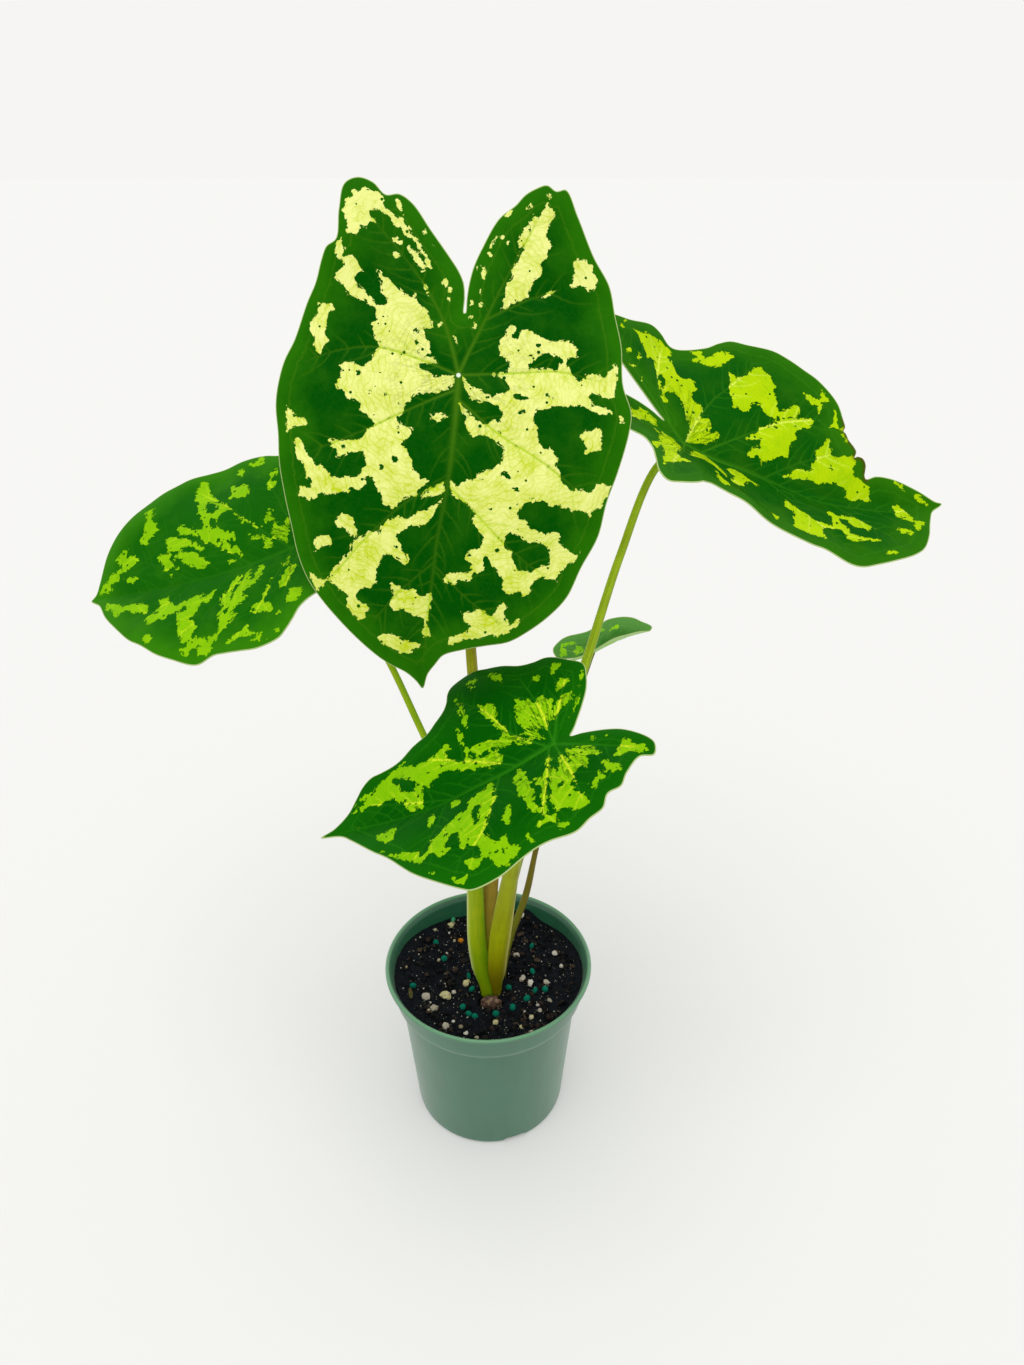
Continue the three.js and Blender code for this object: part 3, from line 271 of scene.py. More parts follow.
# The pale patches of each leaf as they lie on the flat leaf, each ring a list of a, b, a, b and so on.
PATCHES = {
    "tall": [
        [-60.3, 43.9, -57.8, 43.2, -56.3, 45.4, -53.6, 44.8, -53, 46.2, -52.2, 44.8, -49.3, 44.2, -47.5,
         43.4, -45.2, 43.9, -44.6, 39.9, -47.5, 39.2, -47.4, 37.2, -49.6, 35.9, -49.7, 33.2, -51.8, 35.6,
         -53.3, 36.4, -54.5, 34.7, -54.3, 32.9, -52.4, 30.2, -49.9, 28, -48.7, 25.3, -46.3, 23.2, -45.2,
         20.7, -42.6, 18.6, -40.2, 16.2, -37.2, 15, -35.8, 13.4, -38.5, 14.2, -45.1, 19.2, -46.9, 21,
         -49.3, 22.6, -51.8, 25, -53.6, 29.6, -55.1, 31.4, -58.7, 32.3, -60, 34.7, -60.9, 39, -59.4, 40.2],
        [-57.8, 27.4, -55, 26.5, -53.4, 24.6, -57, 26],
        [-45.4, 28.2, -43.4, 27.5, -42.8, 25.5, -43.6, 24, -45.2, 26],
        [-40.5, 27, -39, 27.4, -38.7, 25.7, -39.7, 24.7],
        [-42.8, 22, -41, 21.5, -38, 19, -35, 16.2, -35.5, 15.4, -37.5, 16.2, -40.5, 19],
        [-31.6, 16.2, -29, 14.8, -26.8, 13.2, -29.2, 14], [-33.2, 7.9, -31.6, 9, -30, 7.6, -31.5, 7.1],
        [-14.2, 3.6, -12.5, 2.9, -10.6, 1.6, -13.5, 2.8],
        [14.8, 8.6, 17, 8.3, 17.1, 5.6, 15.6, 2.8, 13.6, 1.9, 14.4, 4.3],
        [16, 60.8, 25.5, 59.4, 24, 57.5, 23.2, 56, 22.5, 52.2, 21, 53, 19.7, 54.5, 20, 57.5, 17.5, 58.5],
        [-21, 52.4, -17.4, 52.1, -16.5, 53.7, -13.7, 54.9, -10.7, 54.5, -9.2, 52.8, -6.1, 53, -3.7, 51.8,
         -2.6, 49.9, -6.8, 49.2, -8.1, 47.5, -10.4, 49, -18, 49, -18.9, 46.3, -20.4, 47.5, -21, 49.3],
        [-43.1, 45.4, -40.8, 47.2, -39, 47.5, -36.4, 46.3, -36, 44.2, -33.5, 43.9, -31, 46.6, -30, 47.4,
         -28, 44.5, -24.4, 41.7, -24, 39.6, -22.9, 36, -20.4, 31.1, -18.3, 31.4, -16.5, 30.5, -15.1, 32.4,
         -12.8, 31.6, -10.1, 31.1, -8.6, 29, -7.1, 29.3, -5.5, 30.2, -2.5, 30.8, -1.6, 32.3, 0.2, 33.5,
         -0.4, 37.2, -0.5, 40.8, 0.8, 42.2, 5.1, 41.5, 6, 43.4, 9.1, 42.6, 9.7, 40.2, 11.8, 38.7, 12.7, 35,
         13.6, 33.2, 16.4, 33.4, 17.9, 30.2, 20, 28, 21, 28, 22.5, 30.5, 25, 31.8, 26.4, 33, 27, 44, 28.3,
         43.6, 30.2, 41.5, 30.4, 40.3, 33.2, 40, 33, 38.3, 32, 37, 30.4, 35.5, 30.5, 32.5, 30.2, 31.2, 32,
         30.8, 34.3, 29.3, 38.3, 31.7, 39.2, 33.5, 39.9, 38.5, 40, 41.5, 37, 45, 36.3, 47, 34, 49.3, 33.2,
         51, 31.8, 52.3, 30.3, 51.8, 29, 53, 27.7, 54.8, 29.2, 57, 30.5, 56, 34, 55, 35.3, 52.7, 37.5,
         51.6, 40.8, 50.6, 41.6, 49, 42.5, 48.3, 44.5, 48.7, 44.7, 50.5, 44.6, 52.3, 47.5, 52.7, 48, 50.8,
         48.9, 48.8, 47.7, 46.8, 46.3, 45, 46.4, 43, 46, 40.5, 45.2, 38.3, 45, 36, 44.3, 34.3, 43.6, 35.4,
         43, 34, 43.6, 31, 42, 29.6, 40.8, 29, 40, 30, 39.5, 30.3, 39.2, 29, 38.6, 28.2, 38.8, 27.3, 39.9,
         26.5, 40.5, 25.3, 41.5, 26.3, 42.5, 25.5, 43.2, 24, 47.5, 22.3, 48.2, 20.5, 49.3, 18.7, 48.3, 18,
         47.3, 17, 46.2, 15.5, 45.2, 14.8, 43.5, 10.8, 41.5, 11, 40.2, 9, 38.4, 6.7, 37.8, 9.5, 36, 11,
         35.2, 13, 33, 13.3, 31.5, 12.6, 30.3, 14, 28, 15.3, 26.8, 17.3, 24.8, 17, 23.6, 14.5, 20.6, 14.3,
         19.5, 18.5, 18.6, 19.5, 17.2, 19.9, 16, 18.6, 12.1, 17.2, 11.2, 15.6, 9.1, 14.8, 7.8, 13.1, 7.7,
         8.6, 6.3, 5.5, 5.4, 2.8, 3, 1.6, 0, 1.3, 1.5, 8.6, -0.7, 12.5, -2.5, 14.1, -3.4, 6.8, -4.6, 8.6,
         -5.5, 12.2, -6.8, 10.7, -10.1, 11.6, -12.8, 13.4, -15, 14.1, -15.6, 10.7, -17.7, 11.3, -20.1,
         12.8, -25, 17.1, -28.3, 17.7, -27.1, 18.6, -25, 18.9, -27.4, 23.2, -29.9, 26.2, -32, 29.3, -33.5,
         32.2, -30.8, 31.4, -29.6, 30.2, -26.2, 29.9, -24.1, 27.7, -21.7, 27.3, -21.4, 31.1, -23.2, 33.2,
         -25.9, 35.3, -28, 39, -29.9, 40.1, -32, 39.6, -32.9, 36.9, -34.8, 38.4, -36, 39.6, -37.6, 40.8,
         -37.2, 43.9, -39.6, 44.3],
        [38, 1.5, 39.5, 4.5, 41.5, 7.5, 44, 8.8, 44.6, 8.7, 43, 3.2, 41.2, 1.2],
        [43.8, 1.4, 46, 2, 48.3, 3.5, 51.5, 5, 53.8, 6.5, 54.3, 8.3, 53.6, 10, 54.3, 12, 56.5, 15, 58.2,
         16.8, 59.8, 15.8, 61, 14.5, 63.8, 14.6, 65.3, 12, 67.5, 11.8, 68, 12.8, 66.8, 14.8, 65.8, 17.5,
         65.3, 19.5, 66, 21, 69, 21.8, 72, 23, 76, 22.7, 78.2, 25, 77.6, 26.8, 79, 28.8, 81.2, 30.2, 82.5,
         30.3, 84.3, 26.5, 86, 25, 86.8, 26.3, 89, 26, 90, 28.5, 88.3, 30, 86.8, 32, 85.2, 33.3, 82.7,
         33.3, 81.5, 32.5, 80, 34.5, 79.8, 36.3, 77.3, 39, 77, 41, 80, 43.7, 82, 43.6, 78.5, 46.3, 75,
         47.5, 74.7, 47, 76.3, 44.5, 76.7, 42, 75.2, 40, 73, 39.2, 70.8, 38, 70.3, 36.6, 67, 35, 66.3,
         33.5, 65, 32.4, 63.2, 32.8, 61, 30.5, 58, 26.8, 57.8, 25, 56.6, 24.3, 58.7, 22.8, 57.3, 22.5,
         55.5, 22.5, 53.5, 20.5, 52, 18.5, 51.6, 16, 52.2, 13, 50.5, 11, 49, 8.5, 47.8, 5.5],
        [62.5, 46, 66.3, 46, 66, 44.6, 64.8, 42.5, 63.8, 39.8, 62.3, 40, 60, 42, 61, 44],
        [55, 39, 56.5, 39.5, 57.3, 38, 57.2, 36, 58.7, 34.5, 59.3, 33, 61.2, 32.2, 59.8, 31, 57.5, 30.6,
         55.8, 32, 54, 32.3, 52.6, 34, 52.5, 36.3, 53.8, 37.2],
        [74.7, 17.5, 75.8, 18, 76.8, 18, 79, 16.2, 80, 17, 83.3, 17.8, 84.5, 16.8, 85, 15, 84.7, 13, 85.3,
         10, 86.6, 8, 86.5, 6, 88, 4.3, 90, 4, 92.5, 4.7, 94.5, 4.6, 94.2, 3, 93.5, 2, 90.5, 3.2, 76.7,
         2.5, 79, 5, 78.8, 7, 77, 9, 77.2, 12.5, 76.2, 15, 75.8, 16.5],
        [94.3, 17, 94.7, 20, 96, 21.3, 97.5, 20, 99, 17.5, 100, 15, 101.2, 9.2, 99.6, 8.2, 98.7, 6.2, 97,
         5.6, 96.3, 7, 96.2, 10.5, 95.3, 13.5, 93.7, 14.5],
        [-23.2, -12.7, -25, -13.5, -27, -13, -28, -13.6, -31, -13.6, -33.5, -14.3, -35, -15.8, -38, -15.4,
         -40, -16.7, -42.5, -17.2, -44.5, -18, -45.5, -16.5, -47.8, -16.4, -49.5, -17.3, -51, -17.5, -53.2,
         -19.7, -56.5, -20.9, -56.3, -23, -57.2, -24, -59, -24.8, -59.7, -25.3, -59.5, -27.8, -57.2, -28.3,
         -54, -26.3, -52.5, -27, -50.2, -25.6, -48.5, -26.7, -47.5, -28.5, -45.5, -27.5, -43, -27, -40.3,
         -25, -38.5, -25.7, -36, -25, -34.7, -23.3, -32, -22.3, -29, -22, -26.3, -17],
        [-42.5, -36.3, -38.5, -37.5, -36.5, -36.8, -34, -36.3, -34, -38, -34.8, -39.5, -34.2, -42, -33.3,
         -42.8, -34.5, -45, -36, -45, -37, -46, -38.5, -45.3, -40, -43.5, -41.8, -43.3, -42.3, -41.5,
         -44.2, -40.3, -43.3, -38.5],
        [-49, -9.3, -47, -7.8, -44.7, -6.9, -45.3, -8, -48, -9.2],
        [-38.2, -6.3, -37.5, -5, -36, -5, -33.5, -5.5, -36.5, -6.6],
        [-31.5, -5.2, -28.5, -4.3, -28.6, -4.9, -31, -5.6], [-26.4, -2.2, -25, -1.9, -25, -2.9, -26, -2.8],
        [-25.7, -4.6, -24.8, -4.9, -24.6, -6.1, -25.7, -6],
        [-18.7, -3.9, -16.5, -2.9, -17, -4.2, -17.9, -4.6],
        [-38.2, -3.5, -38, -2.9, -36.5, -2.7, -37, -3.3], [-58, -13.8, -57, -12, -55.7, -11.5, -56.2, -13],
        [-60.2, -19.6, -58.5, -18.4, -59.5, -20], [-63.8, -24, -62.4, -26.5, -64.2, -27.1],
        [-60.5, -25.2, -60, -25.6, -60.2, -26.8, -60.8, -26.8],
        [-29.6, -26.3, -30.3, -28, -31.5, -29, -32.5, -31.5, -32, -32.5, -31.3, -30, -29.2, -28],
        [-1.2, -12, -2, -15, -2.7, -18.5, -4, -17.5, -5.2, -17.5, -7, -16.5, -8.5, -14.3, -10, -13.4,
         -13.5, -14.3, -14.8, -15.8, -16.5, -15.3, -19.2, -17.5, -17.8, -19.3, -16, -18.2, -14.5, -18.2,
         -14.3, -19.7, -16, -20.3, -17.5, -21.5, -19.2, -22.5, -17.5, -23, -16.5, -25, -15.5, -26.5, -15,
         -29, -14.2, -30.5, -14.5, -34, -15.5, -35.5, -15.3, -37.5, -13, -41, -9.5, -41.3, -9.5, -39.5,
         -8.2, -38, -6.5, -38.3, -3.7, -40, -2.3, -41.5, -1.5, -43, -2.3, -44.3, -4, -45.3, -5, -47, -4.2,
         -49.5, -4.2, -51.5, -7, -53.7, -9.2, -54.5, -8, -55.5, -4, -56, 0, -55.5, 2.7, -55.5, 3.3, -54,
         2.8, -51.5, 2.5, -47, 3.5, -46.7, 4.5, -47.5, 7, -48.3, 7, -50, 6.7, -53, 8.3, -55.5, 8.8, -54,
         9.3, -51, 7.5, -45, 7.7, -41, 9, -34, 9.8, -31.5, 10.2, -29.3, 12, -28.3, 14, -28, 15.5, -29.5,
         17, -30, 20, -30.2, 22, -31.5, 23, -33, 22.9, -34.8, 25, -36.8, 27, -39, 28.3, -37.7, 29.3, -38,
         31, -40, 33.5, -39.8, 35.3, -42, 36.3, -44, 36.2, -48, 36.5, -51, 33.7, -53, 32.7, -55, 33.8,
         -55.5, 33.6, -58, 36.3, -57.5, 42.5, -55, 41.9, -53.3, 42.8, -52.3, 45, -51.5, 43.8, -51, 43, -48,
         43.5, -45.5, 42.7, -43.5, 42.3, -41, 42.8, -38, 42, -36, 41.3, -33.5, 41.8, -31.5, 42, -29, 42.8,
         -27.5, 44.5, -27, 46.5, -26, 48.3, -26.7, 49, -28.5, 50.7, -30.5, 51.5, -33, 53.2, -36.5, 51.8,
         -38.5, 51.5, -40, 52.7, -41.8, 55, -41.8, 56.5, -43.5, 58, -46.5, 59, -47.5, 57.8, -49, 61.8,
         -47.8, 62.5, -46, 67.5, -42, 69.5, -42.3, 68.2, -40, 68.5, -37, 69.5, -34, 72, -33, 74.5, -32.7,
         75.8, -30.3, 74.2, -29.5, 75.3, -25, 74, -22.5, 73.7, -20.5, 73.3, -23, 70, -22.8, 67.5, -21,
         65.8, -18.7, 62.8, -16.8, 62.3, -15.5, 67.5, -15.8, 68.5, -13, 70, -11.8, 72, -11, 71.8, -8.5,
         73.5, -5, 73.5, -3, 72.4, -1, 71, -2, 70, -4, 69.5, -8.5, 68.3, -11, 65.5, -11.5, 64.5, -9, 63.3,
         -8.3, 61.3, -9.8, 60.5, -12, 58.8, -14.5, 56, -15, 54.5, -14, 52.5, -11.5, 50.8, -10.2, 47.8,
         -11.3, 45.5, -8.5, 44, -5, 41.5, -1.2, 37.7, -1, 38.9, -2.7, 38, -4.8, 36.7, -6.5, 36.2, -9, 36.1,
         -13, 35.3, -10.3, 33.5, -10.7, 32.5, -14.5, 30.8, -17.5, 29.5, -18.8, 27, -19, 25, -19.5, 22,
         -15.5, 20.8, -12, 20.7, -10, 21.5, -8, 20, -6, 17, -4.3, 15.5, -4.5, 11.5, -1.8, 9.8, -1.3, 14.5,
         -7, 17, -11, 17.3, -12.5, 15.8, -13.5, 15.3, -16.5, 13, -17.2, 11.3, -16, 10, -15.7, 9, -9, 8.3,
         -6, 5, -2.8, 0.5, -1.3, 3.5, -4, 4.3, -7, 5.7, -10, 6.2, -13, 6, -15.5, 4, -18.3, 1.7, -18],
        [17, -46, 18.5, -45.3, 19.2, -46.8, 21, -48, 22.3, -47.5, 23.8, -47.3, 22.5, -50.3, 21.8, -53,
         14.5, -52.5, 14.3, -50, 15.3, -49, 15.5, -47.5],
        [9, -58, 10.5, -58.3, 11.3, -59, 11, -60, 9, -60.3],
        [83.8, -9, 85, -9.5, 87, -10, 87.2, -11.8, 88.3, -13, 90.5, -11.5, 92, -9.5, 92.8, -5, 94.5, -5.3,
         96.8, -5, 93.5, -10.5, 92.8, -13, 92.5, -16, 91.8, -18, 90.8, -20, 90.3, -21.5, 91.8, -21, 91.5,
         -22.5, 90, -25, 86, -30, 83.8, -30, 86.8, -27, 85.5, -26.5, 84.3, -24.7, 82, -24.8, 80, -25.5, 79,
         -24, 80.2, -22, 82, -21.3, 83.5, -20, 83.3, -18, 82, -15.5, 83, -13],
    ],
    "left": [
        [4.3, 59, 6, 58.8, 8, 57, 11, 58.5, 12, 58.3, 9, 55.5, 5.5, 53, 4, 55],
        [14, 58, 17.3, 59, 16.5, 55, 15.3, 53, 13.7, 55.5],
        [0.5, 45, 3.5, 45.3, 3.8, 43, 3, 41, 5.5, 39.5, 6.5, 36, 5.5, 34.7, 2.3, 34.7, 2.8, 38, 2.5, 41, 1,
         42.5],
        [14.5, 43, 15.3, 46, 18, 46, 21, 49, 21.5, 46, 22.7, 42, 21, 39.5, 17, 37, 15.3, 36.5, 14.3, 40],
        [15.5, 17, 20, 26, 22, 31, 28.5, 45, 30, 49.5, 30.4, 53, 30.3, 56, 31, 59, 32, 61, 34, 62, 35,
         58.5, 37.6, 52.8, 37, 49, 36, 45, 36.8, 40.5, 35.9, 36, 35.9, 31, 37, 29, 43.5, 35.3, 45.3, 38,
         46.9, 36.7, 47, 33.5, 44, 31.8, 41.5, 30, 38.7, 27.2, 37.7, 25, 37.7, 23, 33.5, 18.3, 31.5, 15,
         30, 12, 28, 10.5, 26.5, 8.7, 24.2, 7, 24, 11, 25.3, 14, 24.6, 17, 25.5, 20, 27.5, 22, 29.5, 25,
         30.5, 28, 29.5, 31, 28.5, 33.3, 27.5, 34.7, 25.5, 33.8, 23.5, 33.3, 22, 30.5, 21.2, 28, 21.6, 25,
         20.2, 22.5, 18.3, 22.2, 16.7, 20],
        [1.5, 15.5, 3.3, 14.5, 4.5, 12.5, 6.5, 13.7, 7.5, 16, 8.3, 18.5, 7.6, 21.5, 8.4, 24.5, 9.7, 22,
         10.4, 19.5, 12.3, 17.3, 14.8, 16.8, 16, 18.5, 15.6, 16.2, 12, 16, 10.3, 17.2, 8.7, 15.5, 9, 13.5,
         10.2, 10.5, 10.2, 8, 8, 6.5, 5.7, 3.2, 4.5, 5, 4.3, 7.5, 2.8, 10, 2.3, 13],
        [11, 8, 11.8, 4, 14.5, 5.5, 14.6, 8, 14.2, 10, 15.5, 11.8, 17.5, 13.3, 19, 15, 18.7, 12, 16.5,
         10.5, 14.5, 12.3, 13.3, 11, 12.5, 8.8],
        [26.3, 5.8, 28, 7, 30, 9, 30.2, 6.5, 28, 5.8],
        [41, 25.3, 44, 28, 51, 35, 53.5, 34.5, 53, 30, 52.5, 27.5, 50, 26, 49, 24.5, 46.5, 25.5, 45, 24.8,
         43.3, 25.8, 42.5, 22, 39.3, 18, 38.8, 20, 40.3, 22],
        [38.3, 11, 39.3, 15, 42, 18, 43, 20.5, 45, 22, 49, 23.5, 51, 23.5, 49, 20.5, 48, 16.5, 45, 13.5,
         42, 11, 40, 10.5],
        [52.3, 25.5, 55, 27.5, 59, 28, 57, 22, 57.5, 20, 56, 20, 53, 18, 51, 16.3, 52, 20, 53, 23],
        [54, 16.5, 55.3, 16.7, 55.3, 14.8, 54.3, 14.6],
        [55, 55.3, 57, 55.5, 59, 54.5, 58.3, 52, 60, 48, 61, 43.5, 64, 41.5, 63, 38.5, 61, 37, 59, 39,
         56.5, 41, 54.8, 41.5, 56.5, 49.5, 55.5, 52],
        [67, 32.5, 68, 35.5, 70, 36.5, 72, 37, 70.3, 40, 72, 40.8, 76.5, 39, 75.5, 36.5, 75, 33.5, 77,
         32.8, 80, 33.5, 81.5, 33.3, 83, 30, 84, 32.5, 86, 31.5, 88.5, 29, 86.5, 28, 82.5, 26.8, 82, 29,
         80, 29, 78, 28.7, 77, 31.5, 74, 31.5, 72, 30.3],
        [69.5, 23, 70.5, 24.5, 73, 26.3, 74.8, 27, 74, 24.5, 72, 22.8],
        [85.3, 20, 83, 18.5, 80, 15.8, 79, 12.5, 75, 11, 70, 7.5, 67.5, 5.5, 66, 2, 67, 0, 69, 2, 74.3,
         5.5, 75, 8.5, 77.5, 9, 79.5, 6.7, 81.5, 8, 82, 11, 84, 14.5, 85.5, 16.5],
        [6.5, -5.5, 8, -7.5, 9.5, -8.5, 10, -10, 9, -11.5, 7, -11.3, 10, -15, 11.5, -16, 12.5, -18.5, 13.7,
         -23, 11, -22.5, 9, -20.8, 7.5, -18, 6.3, -14.5, 4.2, -14.7, 4.5, -12, 6.5, -11, 7.5, -9],
        [4, -27.5, 6.5, -27, 8, -25.5, 9.7, -26, 12.2, -30, 11.5, -32.5, 8.5, -33, 6.7, -31.5, 5.5, -29],
        [17.3, -3.5, 19, -4, 20, -7, 21.5, -9, 23, -11.5, 24, -9.5, 23, -6.5, 22.7, -3, 25, -5, 27, -8, 28,
         -10.5, 30.5, -13, 31.5, -11.5, 27, -6, 26.5, -4, 28.3, -3.5, 30.5, -6.5, 33.5, -10, 36, -12.5, 37,
         -15.5, 35.5, -18, 36.5, -20.5, 38.5, -22, 38.7, -25.5, 38.5, -28.5, 41, -30.5, 44, -30, 45, -31.5,
         46.5, -28, 48.5, -26.5, 49, -29.5, 50.5, -28.5, 50.2, -24.5, 49, -23, 47.5, -22, 48.5, -20, 49,
         -17.5, 50.5, -16, 47, -15.5, 46, -13, 43.5, -11, 41, -12, 39.5, -10, 38, -7, 43.5, -8, 43.8, -4.5,
         46, -4.8, 51, -4.5, 54.5, -5, 56, -2.5, 57.8, 0, 58, 3, 61, 4, 61, 0.5, 63.5, -1, 66, -2, 68.3,
         -4, 67.5, -7, 65, -8, 62.5, -8.5, 60, -9.5, 57.5, -8.5, 55, -8.5, 54.2, -11, 55, -20, 55.7, -23,
         54.8, -25.5, 53, -27, 53.3, -28.5, 57, -28, 56, -30, 54.5, -32.3, 51.5, -31.5, 49.5, -32.3, 50,
         -34.5, 47.5, -36.5, 45, -36, 43, -34, 40.5, -32, 38.5, -30, 36.5, -29.5, 33.5, -28, 30.5, -26, 32,
         -25.5, 33.5, -24.5, 32.5, -22.5, 30.5, -20.5, 28.5, -21.5, 26, -19.5, 28, -18, 26.5, -15.5, 25,
         -13.5, 22.5, -14.5, 20, -12, 18.3, -9, 17.5, -6],
        [65.5, -16.5, 69, -12, 70.3, -14.5, 68.5, -17.3, 66, -17.5],
        [15.3, -15.5, 17, -17.5, 20.5, -23.5, 22, -25.5, 24.5, -25.5, 25.5, -28, 24, -29.5, 21, -31.5,
         18.5, -33.5, 17.5, -31.5, 17.5, -27.5, 20, -27, 20.3, -25, 18, -21.5, 16, -18],
        [26.5, -40, 28, -36, 28.5, -34, 31, -34.5, 35, -35.8, 38, -37.3, 34.5, -39, 33, -37.5, 31, -38, 30,
         -39.8],
        [22.8, -45, 25, -43.5, 24, -41, 25.3, -40.7, 26, -43, 28.5, -43, 26.5, -44.8],
    ],
    "right": [
        [-12.5, 36.5, -11.5, 34, -9.5, 32, -7, 30.5, -5, 27.5, -2, 28.5, -2.3, 26, -6, 21, -6.2, 19, -5.5,
         16, -3, 9.5, -4.5, 7, -6.5, 3, -8, 0.5, -10, 0.8, -11, 3.5, -10.8, 7, -12, 8.5, -13, 11.5, -12.5,
         15, -13.5, 18, -16, 20, -16.2, 22, -15, 24.5, -13.3, 20.5, -11.5, 21, -11.8, 29, -12.8, 33],
        [-24, 4.5, -22.5, 3, -20.5, 3.3, -18, 1, -17, -0.5, -15, 0.5, -12.5, -0.8, -14.5, -3, -18, -3.8,
         -21.5, -3.5, -22.5, -1.5, -24.8, -0.7, -24, 2],
        [-14, 2, -13.3, 6, -12.6, 8.5, -11.7, 6, -13, 2],
        [-1, 17.5, 1, 17, 3, 14, 8, 11.5, 11, 12, 13, 14, 15.5, 18, 16, 15, 15, 10, 9, 0.8, 6, 2, 3.5, 5,
         1.5, 9, 1, 12],
        [10, 33, 11.5, 33.5, 14, 30, 15.5, 27, 13, 25, 11.5, 22, 11, 18, 10, 18.5, 10.3, 22, 9.3, 25],
        [17.8, 18.5, 19, 20, 21, 18, 23.5, 16.5, 26, 10, 28, 9, 30.5, 11, 31, 8.5, 27.5, 6.5, 24, 2, 22,
         0.8, 19.5, 3, 18, 6, 19.5, 8.5, 21, 10.5, 18.3, 15],
        [42.5, 31.5, 45, 31.2, 49, 31, 53, 30, 56, 29, 57.2, 28, 56, 26.5, 55.8, 23, 57.5, 21.5, 60.5,
         20.8, 64, 20.3, 65.5, 22, 66, 24, 68, 24.8, 70, 23.5, 75, 22, 78.3, 21.5, 79, 19.8, 76.5, 20, 73,
         21, 67, 20.3, 66.5, 17.3, 64, 15.5, 63, 13, 64.5, 12, 67, 12, 68.5, 14, 69, 15.8, 72, 15, 75,
         15.5, 76, 13.5, 78, 13, 76.5, 11.3, 74.5, 11, 72.5, 9, 70, 8.8, 64.5, 10.3, 62, 10.5, 60.3, 9, 59,
         11, 60.5, 13.5, 60, 19, 57, 19.5, 53, 18.3, 50.5, 16.5, 47.5, 15.3, 45, 14, 42.3, 12, 41, 14,
         40.5, 18.5, 44, 19.2, 44.5, 22, 43.5, 25, 43.8, 28],
        [31.3, 31, 33, 31, 34.8, 34, 36, 32.5, 36.5, 30.5, 34.5, 30.3, 32, 29.8],
        [80.5, 27.5, 82.5, 26.5, 84.7, 25, 84, 24.6, 81.5, 25.6],
        [86.5, 11, 88, 12.3, 91, 12, 91.5, 13, 92.5, 10.5, 91, 9.5, 88.5, 9.5],
        [94.8, 9.5, 96, 9, 97, 6, 98.3, 4, 96.5, 4, 94, 3.5, 93, 0.5, 90.5, -4, 88.5, -5, 87, -4.3, 87.5,
         -1, 87, 2, 88.5, 3.5, 91.5, 3.5, 93.5, 4.5, 94, 7],
        [100.3, -7, 95.8, -8, 95.5, -10.5, 98, -10],
        [91.5, -11, 88.5, -12.5, 86.8, -14.3, 89.5, -13.5, 91, -12],
        [0, -2, 2, -1.5, 4, -3, 5.5, -3.5, 8, -5, 10, -7.5, 11.5, -9, 12.8, -11, 11.5, -12.5, 9, -11.5,
         8.3, -13, 8, -15.5, 6, -17, 4.5, -16, 3, -16.5, 3.8, -19.5, 3.5, -21.5, 0, -21.7, -1.8, -23, -2.5,
         -25.5, -1, -29, -3, -31.5, -5, -32.2, -6.5, -31, -9, -30.3, -11, -32.5, -12, -34.5, -15.5, -40.5,
         -14.5, -43, -16, -44.8, -20, -45.5, -24, -45, -28.5, -43.5, -30, -41, -35, -40.8, -30.5, -38,
         -28.5, -35.5, -26, -33, -24.5, -30.5, -23.3, -32.5, -21, -31.5, -18, -22, -16.5, -19, -14.5, -16,
         -12, -13.5, -11.8, -15, -13.3, -17.5, -11.5, -20, -9.5, -21, -7, -19.5, -4.5, -15, -2, -12.5, 0.5,
         -8],
        [-5.5, -43, -3, -44, 0, -43.5, 3.5, -44.5, 6, -46, 8, -49, 9.5, -52, 11.8, -54.3, 9.5, -55, 5, -55,
         1.5, -49.5, -1, -47.5, -2.5, -48.5, -1.8, -51, -3.5, -51, -5.5, -49.5, -7.5, -48.3, -6, -46.5, -4,
         -47, -5, -45],
        [15.5, -26.5, 17.5, -28, 20, -27.3, 22, -28.5, 22.5, -32, 25, -34, 27.5, -33.5, 28, -31, 31, -30,
         33.5, -29.5, 35, -30.5, 38, -31, 40.5, -32, 43, -32, 44, -34.5, 43.5, -37.5, 41, -38, 38.5, -35,
         35.5, -33.5, 33, -35, 33.5, -38, 31, -42.5, 31.8, -45, 29.5, -47.5, 28, -50, 26, -51, 23.5, -53,
         21, -51.5, 20.5, -50, 19.5, -48, 17, -44.5, 14.5, -43.5, 10, -45, 11.5, -43, 12.5, -40, 12, -36.5,
         13.5, -33, 15, -30.5],
        [26, -8, 29, -9, 31, -10, 32.5, -7, 34, -9, 40, -14, 42.5, -14, 42, -17, 43, -21, 44.5, -23, 43,
         -24.5, 44, -27, 46.5, -29, 50, -30.5, 51.5, -33, 49, -34, 46, -33, 42, -32.5, 38.5, -31, 35, -29,
         29, -23, 27.5, -20, 24, -15.7, 26.5, -16, 31, -18.5, 26, -10],
        [42.5, -5, 46, -5.5, 48.5, -6.5, 52.5, -7.5, 56, -6.5, 59.5, -7.5, 63, -8, 67, -7.5, 68.5, -3, 72,
         -3.5, 74.5, -4.5, 78.3, -4.5, 77, -7, 76.5, -10, 73.5, -11.5, 70, -12.5, 69, -15.5, 70, -18.5, 68,
         -20, 65, -19.5, 62, -18.5, 60, -20, 59, -22, 58.5, -26.5, 57, -26.5, 56, -23.5, 54.5, -21.5, 52.8,
         -20, 54.5, -17.5, 53, -15, 53, -12, 52, -10.5, 48.5, -10.5, 46, -9.5, 44.3, -7],
        [44.5, -44.5, 46.5, -42, 48.5, -40.5, 51, -40, 52, -37, 53.3, -39, 52, -42.5, 56, -43.8, 54, -45.5,
         52, -48, 51.5, -46, 52.5, -44.5, 49.5, -43, 47, -44.5],
